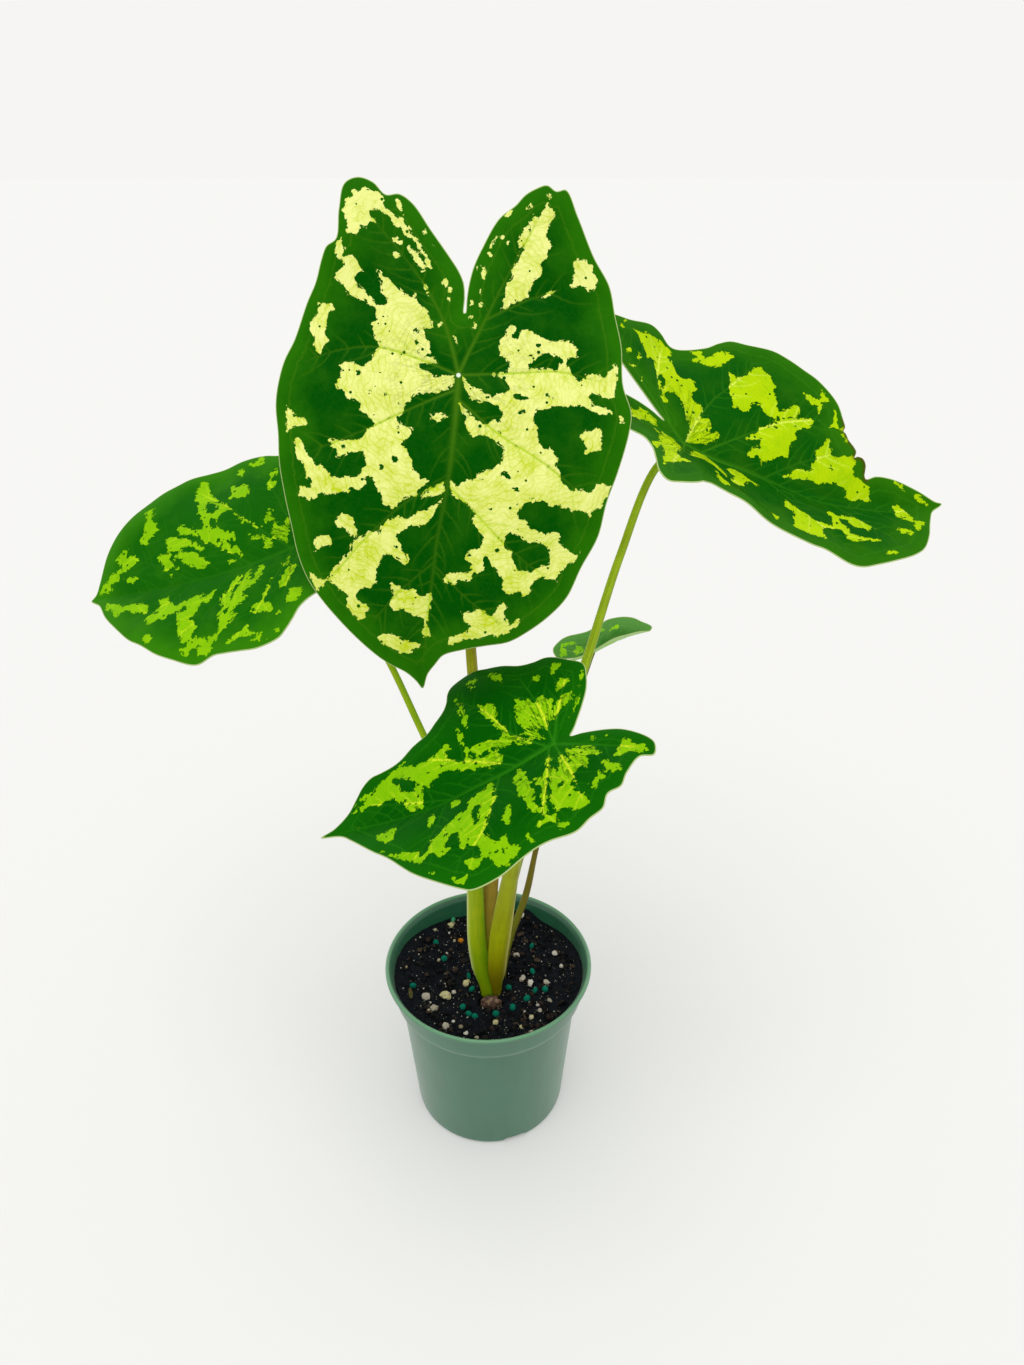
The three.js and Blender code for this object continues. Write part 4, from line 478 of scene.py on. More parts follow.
        [57.5, -32, 59, -33.5, 58.3, -40, 59.5, -39, 60.5, -35, 61.5, -32.5, 63.5, -33, 64, -31, 61, -32],
        [65, -26, 63, -29.5, 62.5, -30.5, 64.5, -28.5], [-31, -21.5, -28, -22.5, -27.5, -21.5, -30, -20.8],
        [-29, -25, -27.5, -28.5, -29, -29.5, -28.5, -27], [-33.8, -26, -32, -27, -32.5, -30, -33.5, -28.5],
        [-39.5, -37, -38.6, -37, -38, -40, -39.5, -40], [-39, -41, -36, -42.5, -38.5, -43],
    ],
    "front": [
        [8.5, 52, 10.5, 53, 13, 53.5, 12.8, 47.5, 11.3, 47.3, 11.7, 50, 10, 49, 8.5, 49],
        [3.5, 48.5, 4, 44, 1.8, 39.5, 1, 41, 0.3, 43, 1.5, 45.5], [19.7, 51, 20.7, 50, 20.5, 48, 20, 48.6],
        [18.5, 44.5, 20.7, 46, 21.3, 43, 21.8, 38, 24, 31, 22.5, 30.5, 21.5, 33, 20.3, 35, 19.8, 40],
        [-21, 30, -19.5, 32.5, -18.3, 32.3, -17, 31, -15.5, 28, -19, 29],
        [-12, 32.5, -10.5, 32, -9, 33.5, -8.8, 31.5, -10, 29.5, -11.3, 31],
        [9.3, 33, 11, 34.5, 13, 35, 14.3, 37, 15.5, 28.5, 13.5, 26, 13, 22, 12.8, 18, 15.5, 15.5, 18, 17,
         21, 19.5, 24.3, 19.5, 26.5, 21, 27.3, 25, 26, 28, 25, 33.5, 26, 33.5, 27.3, 31, 28.3, 26, 28, 22,
         29, 19, 30.5, 17, 32, 18, 34, 22, 35.5, 26, 34.5, 27, 32.5, 26, 31.8, 28, 33, 31, 34.5, 30, 37,
         29, 42, 29.5, 46, 31, 49, 34, 50.5, 36, 53.5, 37.5, 56, 40, 58.5, 38.5, 65, 36, 66, 35, 69, 36,
         70.5, 34, 74, 33, 74, 31.5, 70, 30.5, 67.5, 28, 63.5, 27.5, 60, 25, 59.8, 22, 57.5, 20, 58.5, 16,
         56, 13.8, 55.5, 16, 53.3, 12, 51, 15, 50.3, 18, 48.5, 19.8, 46.5, 18, 43.5, 19.5, 39, 19.8, 36,
         17, 34, 15.5, 31.5, 13, 29.5, 10, 28, 12, 25, 8.5, 23, 6.5, 22.5, 8, 20.5, 6, 18, 8, 18, 11.5,
         19.3, 14, 17, 13, 16, 12, 13.5, 10.3, 11.5, 11, 10.5, 8, 8, 6.5, 5, 5.5, 7, 9, 9.5, 12.5, 11, 16,
         11, 19, 11.5, 23, 10.8, 27.5, 9.2, 29.5],
        [-3, 25, -1, 24.5, 0, 27.3, 1.5, 27.3, 3, 25.5, 4.5, 22, 5.3, 19, 5.3, 15, 6.5, 12.5, 8, 12, 6.5,
         9.5, 4.5, 8, 3.5, 5.5, 2.3, 3.5, 1.5, 6, 1.8, 9, -0.5, 10, -1.5, 7, -3, 8.5, -4, 12, -5, 9, -9,
         11, -10.5, 12, -14, 12, -16.5, 13, -17.5, 15.5, -14, 16.5, -8.5, 14.5, -9.5, 17, -7.5, 20, -8.3,
         22.3, -5, 22.5, -3.2, 21.5],
        [-19.5, 20, -20.5, 22.5, -18, 23.5, -16, 24.5, -14.8, 22.5, -13, 20, -16, 20.5],
        [-27, 23, -25, 20, -20.5, 15.5, -22.5, 16, -25, 18.5],
        [-20, 12, -15, 7.5, -10.5, 6, -13, 7.5, -17, 11], [40, 5.5, 43.3, 5, 43.5, 0.5, 41.5, 0.3, 40, 1],
        [50, 3.5, 51.5, 4.7, 53, 4, 53.5, 1, 55, -2.5, 53.5, -2.5, 50, 2],
        [65.5, 10.5, 67.5, 12, 70, 12, 72.5, 13.7, 73, 11.5, 71, 6, 69, 3.8, 67, 5.3, 65.8, 7.5],
        [50, 38, 51.5, 39.6, 53, 39.6, 51.5, 38.6],
        [68, 36.5, 71, 37, 74, 35.8, 75.5, 35.6, 73.5, 34.8, 70, 35.6],
        [74, 33.7, 75, 34.3, 78.3, 33.3, 76, 33.1],
        [26, 0, 27, 2.3, 30.5, -1, 32.5, -0.5, 35, -1, 37.5, -3, 39, -6, 42, -6.5, 45, -6, 48.5, -8, 52,
         -9, 55.5, -9, 57, -12.5, 60, -14.3, 61.8, -13.5, 61, -11, 62, -9.5, 64, -8, 66, -6, 68.5, -4.5,
         70.5, -2, 72, 1, 73, 2.5, 71.5, -1, 69.5, -5, 67.5, -8.5, 65, -12, 63.5, -15, 62, -17.3, 60.5,
         -16.5, 58, -15.5, 56, -16.5, 55, -20, 53.5, -21, 51, -20, 52.5, -18.5, 51, -16.5, 49.8, -14, 47.5,
         -13.5, 45.8, -15, 46, -17, 47.5, -22, 47, -24, 44.5, -23, 43, -25, 41.5, -28, 42.5, -31, 44.5,
         -31.5, 46, -30, 48, -29.5, 48.5, -33, 47.5, -35, 39.5, -32.5, 41, -35, 40, -39, 37, -41, 35, -40,
         33, -40.5, 30.5, -39, 33, -35, 32.5, -31, 35, -30.5, 37, -29.5, 37.5, -26, 38.5, -23, 37, -21,
         34.5, -19, 33, -16, 31, -12.5, 28, -10, 29, -6, 27, -4],
        [15.5, -1.5, 16.7, -1, 17.3, -3, 17, -5, 19, -5.5, 20, -9, 20.5, -14, 21.5, -17, 20.3, -20, 21.3,
         -26, 18.5, -31, 17, -30, 18, -27, 18.5, -24, 16.5, -22, 15.5, -19, 16.5, -15, 15.5, -10.5, 14.5,
         -7, 15.5, -4],
        [4.5, -5.5, 6, -7, 8, -11, 10.5, -15, 13, -14, 14.5, -16.5, 13.5, -19.5, 17, -28, 18.5, -34, 22,
         -34.5, 21.5, -36, 18.5, -36, 16.5, -37.5, 16.5, -41, 15, -42.5, 13.3, -41.5, 15, -39, 15.5, -35.5,
         17.3, -34.3, 15, -28, 12, -22, 10, -17, 8.5, -15, 11.5, -25, 13.5, -29, 13.8, -34.5, 11, -35.3,
         9.5, -38, 7, -40, 4, -40.3, 3.8, -36, 2.8, -29, 1.8, -24, -2, -23.5, -3, -26, -5, -22, -5, -20,
         -8, -20, -8.5, -23, -10, -22.5, -9, -18, -7, -14, -5, -11, -4, -10, -3, -12, -1.5, -8.5, 0, -12,
         1, -8, 2.5, -10, 4, -15, 5.5, -17, 6.5, -15, 5.5, -11, 4.2, -7.5],
        [-19.5, -22.5, -18, -25, -15.5, -27, -14, -28.5, -12, -29, -13.5, -31, -17, -31, -19, -33, -20.5,
         -35, -23, -36, -22.5, -32, -20, -29, -20.5, -26],
        [-8.5, -27.5, -7, -35, -8, -36, -8, -38.5, -11, -38, -12.3, -35.5, -10.5, -31, -10, -29],
        [-5.5, -31.5, -4, -33.5, -1.5, -34.3, 0, -33.5, -1, -37.5, -3, -36, -5.5, -37, -5, -34],
        [26, -19, 27.5, -19, 29, -22, 31, -24.5, 30, -27.5, 28, -26, 26.5, -22],
        [49.5, -35, 52, -35, 54.5, -32.5, 54.8, -35, 52.5, -37, 50, -36],
        [25.8, -40, 26.3, -36, 27.8, -36.5, 27, -39], [58, -26, 59.5, -24.5, 60.8, -23.5, 59.5, -25.5],
    ],
    "back": [
        [-17, -3.4, -13, -4, -12, -6, -14, -8, -9, -8, -5.5, -7.5, -6, -9.5, -10, -10, -14, -10, -16, -7],
        [-8, -2, -4, -2.5, -2.5, -4.5, -5.5, -6, -9, -4.5], [8, -7, 10.5, -7, 11, -9, 9, -8.5],
        [13, -5.5, 17, -5.5, 18.5, -8, 15, -7.5], [-12, 6, -6, 5, -3, 8, -8, 10],
        [6, 4, 12, 4.5, 10, 7.5, 5, 7],
    ],
}

# Green islands inside patches, in the same form.
HOLES = {
    "tall": [
        [53.3, -24, 55, -22.5, 57, -22.3, 59, -23, 60.2, -25.3, 66.3, -27, 67, -29.5, 66.8, -32.5, 65, -35,
         63.7, -38.5, 61.5, -39.2, 58.5, -38.3, 56.5, -36, 55.5, -33.5, 56, -31, 55.8, -28.5, 53.8, -26.8],
        [-3.9, -23.3, -5.5, -24.5, -9.3, -28.5, -9.9, -30.5, -9.3, -32, -9.8, -34.5, -8, -36.3, -6.5,
         -35.4, -4.2, -35.2, -4.6, -31.5],
        [5.7, -21, 6.7, -20.4, 7.4, -21, 7.2, -25.5, 6, -26.2, 5.6, -24],
        [10.6, -24.7, 10.8, -23.3, 12, -22.7, 11.3, -25], [4.6, -32, 5.7, -32.3, 5.9, -34.2, 5, -33.8],
        [32.3, -20, 33.3, -19, 34.6, -20.2, 35, -21.8, 34, -22.5, 33, -21.8],
        [37.2, -24.8, 38, -23.3, 38.8, -25, 38.3, -25.6],
        [40.6, -31.3, 40.8, -29.8, 41.5, -30.5, 41.2, -31.7],
        [-53, -20.3, -52, -19.6, -51.2, -20.2, -52, -20.9],
        [30.8, 18.6, 31, 20.2, 32.6, 20, 33, 18.7, 32, 17.8],
    ],
    "left": [
        [28.8, 38, 28.9, 41.5, 30.3, 44, 32, 45.5, 33.8, 44, 33.9, 41, 33, 37.5, 31.5, 35.5, 30, 35.3],
        [31.5, 25.5, 30.8, 28, 31.3, 31, 32.6, 33, 33.2, 30, 32.7, 27.5],
        [25.6, 14.5, 26, 16.8, 28.3, 17.3, 27.5, 14.8, 26.5, 13.8],
        [29, 16.5, 31.8, 20.3, 32.3, 20, 29.8, 15.8], [31, -14, 31.8, -13.8, 32.7, -17.6, 31.8, -18],
        [33.4, -20.3, 36.2, -20.8, 36, -23, 34.8, -23],
        [50.2, -8.2, 52.4, -8.2, 52.6, -10.2, 51.2, -11, 50, -10.2],
    ],
    "right": [
        [-15, -20, -18, -23, -18.5, -26, -16.8, -27, -15, -24],
        [28.4, -13, 29.5, -12.3, 30.6, -14, 29.6, -15],
    ],
    "front": [
        [20, 12.6, 22, 12.7, 24.4, 14.6, 22.5, 15, 20.7, 14.2],
        [25.5, 16, 27.5, 15.8, 28, 18, 26.8, 19.5, 25.6, 18],
        [50, 22, 52, 21.5, 55, 23.5, 57, 26, 56.8, 30, 58.5, 33, 57.5, 35, 56, 34.5, 54.5, 32, 51.5, 28.5,
         50.3, 25],
        [34, -7.5, 36, -7, 38.5, -9, 39.5, -16.5, 37.5, -15.5, 36, -12, 34.5, -10],
        [6, -24, 9, -24.5, 9.3, -26.5, 7, -26.5], [3, -27.5, 4.8, -28, 4.8, -34, 3.4, -33],
        [56.3, 18, 58, 20.5, 57.2, 21.4, 56.2, 20], [34.3, -16, 36, -19, 35.5, -19.5, 33.8, -17],
    ],
    "back": [],
}

# Small round patches, each an a, a b and a radius.
DOTS = {
    "tall": [
        [-48, 16.4, 0.7], [-44.3, 13.6, 0.6], [-29.2, 6, 0.7], [-26.2, 5.7, 0.7], [-16.7, 8, 0.8],
        [-42.5, -7, 0.6], [-21, -2, 0.6], [-51.5, -13.7, 0.4], [-47, -13, 0.5], [-48.5, -11, 0.4],
    ],
    "left": [
        [16.3, -35, 0.5], [18.3, -43.3, 0.6],
    ],
    "right": [
        [-24.3, -17, 0.4], [-24.3, -19, 0.4],
    ],
    "front": [
        [-12, -11.5, 0.6], [-11.3, -13, 0.5], [-17, -13.5, 0.4], [-16, -16.5, 0.4], [78.5, 26, 0.4],
    ],
    "back": [],
}

# Small round green spots inside patches, in the same form.
PITS = {
    "tall": [
        [-14, 16.4, 1], [-10, 16, 0.9], [-6.5, 14.5, 0.8], [35, 24, 0.7], [12.3, 20, 0.5], [2.8, 35.5, 0.7],
        [-45.3, -18.2, 0.6], [43.3, -25.7, 0.5], [-8.2, -25, 0.6], [60.3, -20, 0.5], [62.8, -10.3, 0.5],
        [22, -21, 0.4], [19, -17, 0.4], [-6, 20, 0.4], [-4.5, 12, 0.4], [21, 19.3, 0.35], [30.3, 37, 0.4],
        [29.2, 38.2, 0.35], [-12.2, -27.1, 0.35], [6.6, -12.7, 0.35], [9.5, 24.7, 0.3], [9, 30.5, 0.3],
        [45.8, -16.4, 0.35],
    ],
    "left": [
        [63.2, -3, 0.9], [48, -31, 0.8], [6, 56, 0.6], [72.5, 38, 0.4], [41, 17, 0.4],
    ],
    "right": [
        [90.5, 2, 0.8], [35.5, -25.5, 0.7], [41, -32.5, 0.6], [43, -28.7, 0.5], [50, 26, 0.6],
        [47, 26.5, 0.4], [14.5, -35, 0.5], [60, -14.8, 0.5], [-18.5, -1.5, 0.6], [61.5, -12.5, 0.4],
    ],
    "front": [
        [48, 22, 0.7], [49.5, 22, 0.6], [44, 24, 0.4], [38.5, 22.5, 0.5], [3, 16, 0.6], [51.5, -18, 0.7],
        [53.5, -18.6, 0.6], [35.3, -35.5, 0.6], [37, -37, 0.7], [38, -34, 0.5], [11.5, 50.4, 0.5],
        [53.5, 32.5, 0.5], [61, 23, 0.5], [30.5, 15.3, 0.4], [6.5, -33, 0.5], [43, -9, 0.4], [50, -12, 0.4],
        [37, 22, 0.35], [44, -21.5, 0.35], [55, -10.5, 0.35],
    ],
    "back": [],
}


def linear(hex_colour):
    """An sRGB hex colour as the linear RGBA that Blender's sockets take."""
    channels = [int(hex_colour[i : i + 2], 16) / 255 for i in (1, 3, 5)]
    return tuple(c / 12.92 if c <= 0.04045 else ((c + 0.055) / 1.055) ** 2.4 for c in channels) + (1.0,)


# The setting that the second word of a node's kind stands for, as in "Math ADD"
NODE_MODES = {"Math": "operation", "VectorMath": "operation", "Mix": "data_type", "TexVoronoi": "feature"}


def put(tree, kind, *values, **settings):
    """Adds a node with its settings. Values go to its open inputs in order, or to those that a dict names.
    A value is a number, a colour, a socket, or a node that gives its first open result."""
    kind, _, mode = kind.partition(" ")
    node = tree.nodes.new("ShaderNode" + kind)
    if mode:
        settings[NODE_MODES[kind]] = mode
    for name, value in settings.items():
        setattr(node, name, value)
    if values and isinstance(values[0], dict):
        places = [(node.inputs[name], value) for name, value in values[0].items()]
    else:
        places = zip([socket for socket in node.inputs if socket.enabled], values)
    for socket, value in places:
        if isinstance(value, bpy.types.Node):
            value = next(result for result in value.outputs if result.enabled)
        if isinstance(value, bpy.types.NodeSocket):
            tree.links.new(value, socket)
        else:
            socket.default_value = value
    return node


def new_material(name):
    """An empty material, and put as the function that adds a node to it."""
    material = bpy.data.materials.new(name)
    material.use_nodes = True
    material.node_tree.nodes.clear()
    return material, partial(put, material.node_tree)


def add_piece(name, points, faces, material, **attributes):
    """A mesh object from points in millimetres, with one number or vector a point for each attribute."""
    mesh = bpy.data.meshes.new(name)
    mesh.from_pydata((np.asarray(points, float) * MM).tolist(), [], [list(map(int, f)) for f in faces])
    for key, values in attributes.items():
        values = np.asarray(values, np.float32)
        kind, field = ("FLOAT", "value") if values.ndim == 1 else ("FLOAT_VECTOR", "vector")
        mesh.attributes.new(key, kind, "POINT").data.foreach_set(field, values.ravel())
    mesh.polygons.foreach_set("use_smooth", [True] * len(mesh.polygons))
    mesh.materials.append(material)
    mesh.update()
    piece = bpy.data.objects.new(name, mesh)
    bpy.context.scene.collection.objects.link(piece)
    return piece


def band_faces(rings, sides, first=0):
    """The quads between closed rings of points that follow each other."""
    faces = []
    for ring in range(first, first + (rings - 1) * sides, sides):
        for i in range(sides):
            j = (i + 1) % sides
            faces.append((ring + i, ring + j, ring + sides + j, ring + sides + i))
    return faces


def closed_faces(rings, sides, first=0):
    """The quads between closed rings of points, with a cap at each end."""
    last = first + (rings - 1) * sides
    caps = [list(range(first, first + sides))[::-1], list(range(last, last + sides))]
    return band_faces(rings, sides, first) + caps


def staggered_grid(low, high, step):
    """Points of even triangles that fill a rectangle."""
    rows = np.arange(low[1], high[1], step * EVEN_ROW)
    columns = np.arange(low[0], high[0], step)
    return np.array([(x + (i % 2) * step / 2, y) for i, y in enumerate(rows) for x in columns])


def filled_sheet(points, count, lines, tolerance, facing):
    """Triangles that fill the outline made by the first count points, with mesh edges along the lines. Gives
    their points, the triangles turned to face one way, and the edges that only one triangle has."""
    outline = [(i, (i + 1) % count) for i in range(count)]
    corners = [Vector(p) for p in points.tolist()]
    made = delaunay_2d_cdt(corners, outline + lines, [list(range(count))], 1, tolerance)
    flat = np.array([tuple(v) for v in made[0]])
    sheet = np.array([f for f in made[2] if len(f) == 3])
    p, q, r = flat[sheet[:, 0]], flat[sheet[:, 1]], flat[sheet[:, 2]]
    turned = facing * np.cross(q - p, r - p) < 0
    sheet[turned] = sheet[turned][:, ::-1]
    halves = {(a, b) for f in sheet.tolist() for a, b in ((f[0], f[1]), (f[1], f[2]), (f[2], f[0]))}
    return flat, sheet, [(a, b) for a, b in halves if (b, a) not in halves]


def smooth_path(points, shares):
    """Points of the centripetal Catmull-Rom curve through the given ones, at shares of its length."""
    points = np.asarray(points, float)
    padded = np.vstack([2 * points[0] - points[1], points, 2 * points[-1] - points[-2]])
    place = np.asarray(shares, float) * (len(points) - 1)
    index = np.minimum(place.astype(int), len(points) - 2)
    w = (place - index)[:, None]
    p0, p1, p2, p3 = (padded[index + k] for k in range(4))
    gaps = [np.linalg.norm(q - p, axis=1)[:, None] ** 0.5 for p, q in ((p0, p1), (p1, p2), (p2, p3))]
    middle = np.where(gaps[1] < 1e-4, 1, gaps[1])
    before = np.where(gaps[0] < 1e-4, middle, gaps[0])
    after = np.where(gaps[2] < 1e-4, middle, gaps[2])
    leave = ((p1 - p0) / before - (p2 - p0) / (before + middle)) * middle + (p2 - p1)
    arrive = (p2 - p1) - ((p3 - p1) / (middle + after) - (p3 - p2) / after) * middle
    return (
        p1 + leave * w + (3 * (p2 - p1) - 2 * leave - arrive) * w**2
        + (2 * (p1 - p2) + leave + arrive) * w**3
    )


def smooth_ring(points, spacing):
    """A closed outline smoothed through its points and cut to even steps."""
    points = np.asarray(points, float)
    count = len(points)
    wrapped = points[np.arange(-2, count + 3) % count]
    shares = np.linspace(2 / (count + 4), (count + 2) / (count + 4), 14 * count + 1)
    dense = smooth_path(wrapped, shares)
    along = np.concatenate([[0], np.cumsum(np.linalg.norm(np.diff(dense, axis=0), axis=1))])
    steps = np.linspace(0, along[-1], int(along[-1] / spacing) + 1)[:-1]
    return np.column_stack([np.interp(steps, along, dense[:, k]) for k in range(2)])


def line_distance(points, line):
    """Distance of each flat point from an open line, and how far along the line its nearest place is."""
    best = np.full(len(points), 1e9)
    place = np.zeros(len(points))
    steps = np.linalg.norm(np.diff(line, axis=0), axis=1)
    start = np.concatenate([[0], np.cumsum(steps)])
    for i in range(len(line) - 1):
        span = line[i + 1] - line[i]
        share = np.clip((points - line[i]) @ span / max(span @ span, 1e-12), 0, 1)
        gap = np.hypot(*(points - line[i] - share[:, None] * span).T)
        nearer = gap < best
        best[nearer] = gap[nearer]
        place[nearer] = (start[i] + share * steps[i])[nearer]
    return best, place / start[-1]


def ring_depth(points, ring):
    """How deep each flat point lies inside a closed ring, negative outside."""
    ring = np.asarray(ring, float)
    depth = np.full(len(points), -3.0)
    near = np.all((points > ring.min(0) - 3) & (points < ring.max(0) + 3), axis=1)
    some = points[near]
    distance, _ = line_distance(some, np.vstack([ring, ring[:1]]))
    inside = np.zeros(len(some), bool)
    for p, q in zip(ring, np.roll(ring, -1, axis=0)):
        crosses = (p[1] > some[:, 1]) != (q[1] > some[:, 1])
        if crosses.any():
            where = p[0] + (some[:, 1] - p[1]) * (q[0] - p[0]) / (q[1] - p[1] or 1e-12)
            inside ^= crosses & (some[:, 0] < where)
    depth[near] = np.where(inside, distance, -distance)
    return depth


# The bent surface of a leaf, worked out as in the frame's source.


def leaf_axes(leaf):
    """The directions along the flat leaf, up out of it and across it."""
    heading, rise, roll = (math.radians(leaf[key]) for key in ("heading", "rise", "roll"))
    ahead, aside = np.array([math.cos(heading), math.sin(heading), 0]), np.array([0, 0, 1.0])
    along = math.cos(rise) * ahead + math.sin(rise) * aside
    upright = -math.sin(rise) * ahead + math.cos(rise) * aside
    level = np.cross(along, upright)
    normal = upright * math.cos(roll) + level * math.sin(roll)
    side = level * math.cos(roll) - upright * math.sin(roll)
    return along, normal, side


def leaf_points(leaf, flat):
    """The points of the bent leaf that the flat points a, b go to."""
    along, upper, side = leaf_axes(leaf)
    a, b = flat[:, 0], flat[:, 1]
    ahead = a > 0
    bend = np.where(ahead, leaf["bend"], leaf["lobe_bend"])
    turned = bend * a
    normal = np.outer(np.sin(turned), along) + np.outer(np.cos(turned), upper)
    shift = np.where(ahead, leaf["sweep"] * a * a, 0)
    across = b - shift
    right = across >= 0
    fade = leaf.get("fold_fade")
    slope = np.where(right, leaf["fold"][1], leaf["fold"][0])
    if fade:
        slope = slope * np.where(~ahead & (across > 0), np.exp(np.minimum(a, 0) / fade), 1)
    curl = np.where(right, leaf["curl"][1], leaf["curl"][0])
    end = slope + curl * np.abs(across)
    out = (np.sin(end) - np.sin(slope)) / curl
    lift = (np.cos(slope) - np.cos(end)) / curl
    for wave_a, wave_b, radius, height in leaf["waves"]:
        lift = lift + height * np.exp(-((a - wave_a) ** 2 + (b - wave_b) ** 2) / radius**2)
    twist = leaf["twist"] * np.where(ahead, a, 0.3 * a)
    reach = np.sign(across) * out
    return (
        np.array(leaf["attach"], float)
        + np.outer(np.sin(turned) / bend, along)
        - np.outer((1 - np.cos(turned)) / bend, upper)
        + np.outer(shift + reach * np.cos(twist) - lift * np.sin(twist), side)
        + (reach * np.sin(twist) + lift * np.cos(twist))[:, None] * normal
    )


def leaf_normals(leaf, flat):
    """The leaf's own upward normals, taken over a step wide enough to round the fold at the midrib."""
    a_step, b_step = np.array([NORMAL_STEP, 0]), np.array([0, NORMAL_STEP])
    along = leaf_points(leaf, flat + a_step) - leaf_points(leaf, flat - a_step)
    side = leaf_points(leaf, flat + b_step) - leaf_points(leaf, flat - b_step)
    normal = np.cross(side, along)
    return normal / np.linalg.norm(normal, axis=1)[:, None]


# Driving dimensions of the blades
BLADE_MESH = 0.72
BLADE_THICKNESS = 0.7
RIM_THICKNESS = 0.36
QUILTING = 0.45
NORMAL_STEP = 1.2
VEIN_SPACING = 5.6


def rib_lines(leaf):
    """The ribs of a leaf as smooth flat lines, each with its radius at the root."""
    return [(radius, smooth_path(path, np.linspace(0, 1, 7 * len(path)))) for radius, *path in leaf["ribs"]]


def thin_veins(ribs, edge, rng):
    """Finer veins that leave the ribs on both sides and die out before the next rib or the margin."""
    walks, owners = [], []
    for owner, (_, rib) in enumerate(ribs):
        steps = np.concatenate([[0], np.cumsum(np.linalg.norm(np.diff(rib, axis=0), axis=1))])
        for start in np.arange(6, steps[-1] - 3, VEIN_SPACING):
            for side in (-1, 1):
                place = start + 2.5 * rng.random()
                at = np.array([np.interp(place, steps, rib[:, k]) for k in range(2)])
                on = np.array([np.interp(place + 0.5, steps, rib[:, k]) for k in range(2)]) - at
                turn = math.atan2(on[1], on[0]) + side * math.radians(44 + 20 * rng.random())
                walk = [at]
                for _ in range(int(3 + 9 * rng.random())):
                    turn -= side * 0.05 + 0.2 * (rng.random() - 0.5)
                    walk.append(walk[-1] + 1.5 * np.array([math.cos(turn), math.sin(turn)]))
                walks.append(np.array(walk))
                owners.append(owner)
    stops = np.cumsum([len(walk) for walk in walks])[:-1]
    flat = np.vstack(walks)
    free = ring_depth(flat, edge) > 3.5
    owner_of = np.repeat(owners, [len(walk) for walk in walks])
    for owner, (_, rib) in enumerate(ribs):
        free &= (line_distance(flat, rib)[0] > 0.7) | (owner_of == owner)
    made = []
    for walk, clear in zip(walks, np.split(free, stops)):
        clear[0] = True
        stop = len(walk) if clear.all() else int(np.argmin(clear))
        if stop > 2:
            made.append(walk[:stop])
    return made


def vein_fields(ribs, veins, flat):
    """For each flat point: the height of the rib under it, how much it lies on a rib and on a thin vein seen
    from above, and its distance from the nearest rib."""
    height = np.zeros(len(flat))
    rib_mark = np.zeros(len(flat))
    vein_mark = np.zeros(len(flat))
    nearest = np.full(len(flat), 1e9)
    for radius, line in ribs:
        distance, place = line_distance(flat, line)
        size = radius * (1 - 0.62 * place)
        fade = np.clip((1.03 - place) / 0.15, 0, 1)
        height = np.maximum(height, np.sqrt(np.maximum(0, size**2 - distance**2)) * fade)
        width = 0.16 + 0.45 * size * size
        rib_mark = np.maximum(rib_mark, np.exp(-((distance / width) ** 2)) * fade)
        nearest = np.minimum(nearest, distance)
    for line in veins:
        near = np.all((flat > line.min(0) - 1) & (flat < line.max(0) + 1), axis=1)
        distance, place = line_distance(flat[near], line)
        mark = np.exp(-((distance / 0.2) ** 2)) * (1 - 0.7 * place)
        vein_mark[near] = np.maximum(vein_mark[near], mark)
    return height, rib_mark, vein_mark, nearest


def patch_depth(name, flat):
    """How deep each flat point lies inside a pale patch, negative in the green."""
    depth = np.full(len(flat), -3.0)
    for ring in PATCHES[name]:
        depth = np.maximum(depth, ring_depth(flat, np.reshape(ring, (-1, 2))))
    for a, b, radius in DOTS[name]:
        depth = np.maximum(depth, radius - np.hypot(flat[:, 0] - a, flat[:, 1] - b))
    for ring in HOLES[name]:
        depth = np.minimum(depth, -ring_depth(flat, np.reshape(ring, (-1, 2))))
    for a, b, radius in PITS[name]:
        depth = np.minimum(depth, np.hypot(flat[:, 0] - a, flat[:, 1] - b) - radius)
    return depth


def scorch(name, flat):
    """How near each point is to the torn and browned part of a margin."""
    if name not in TORN_MARGIN:
        return np.zeros(len(flat))
    return np.exp(-((line_distance(flat, np.array(TORN_MARGIN[name], float))[0] / 1.1) ** 2))


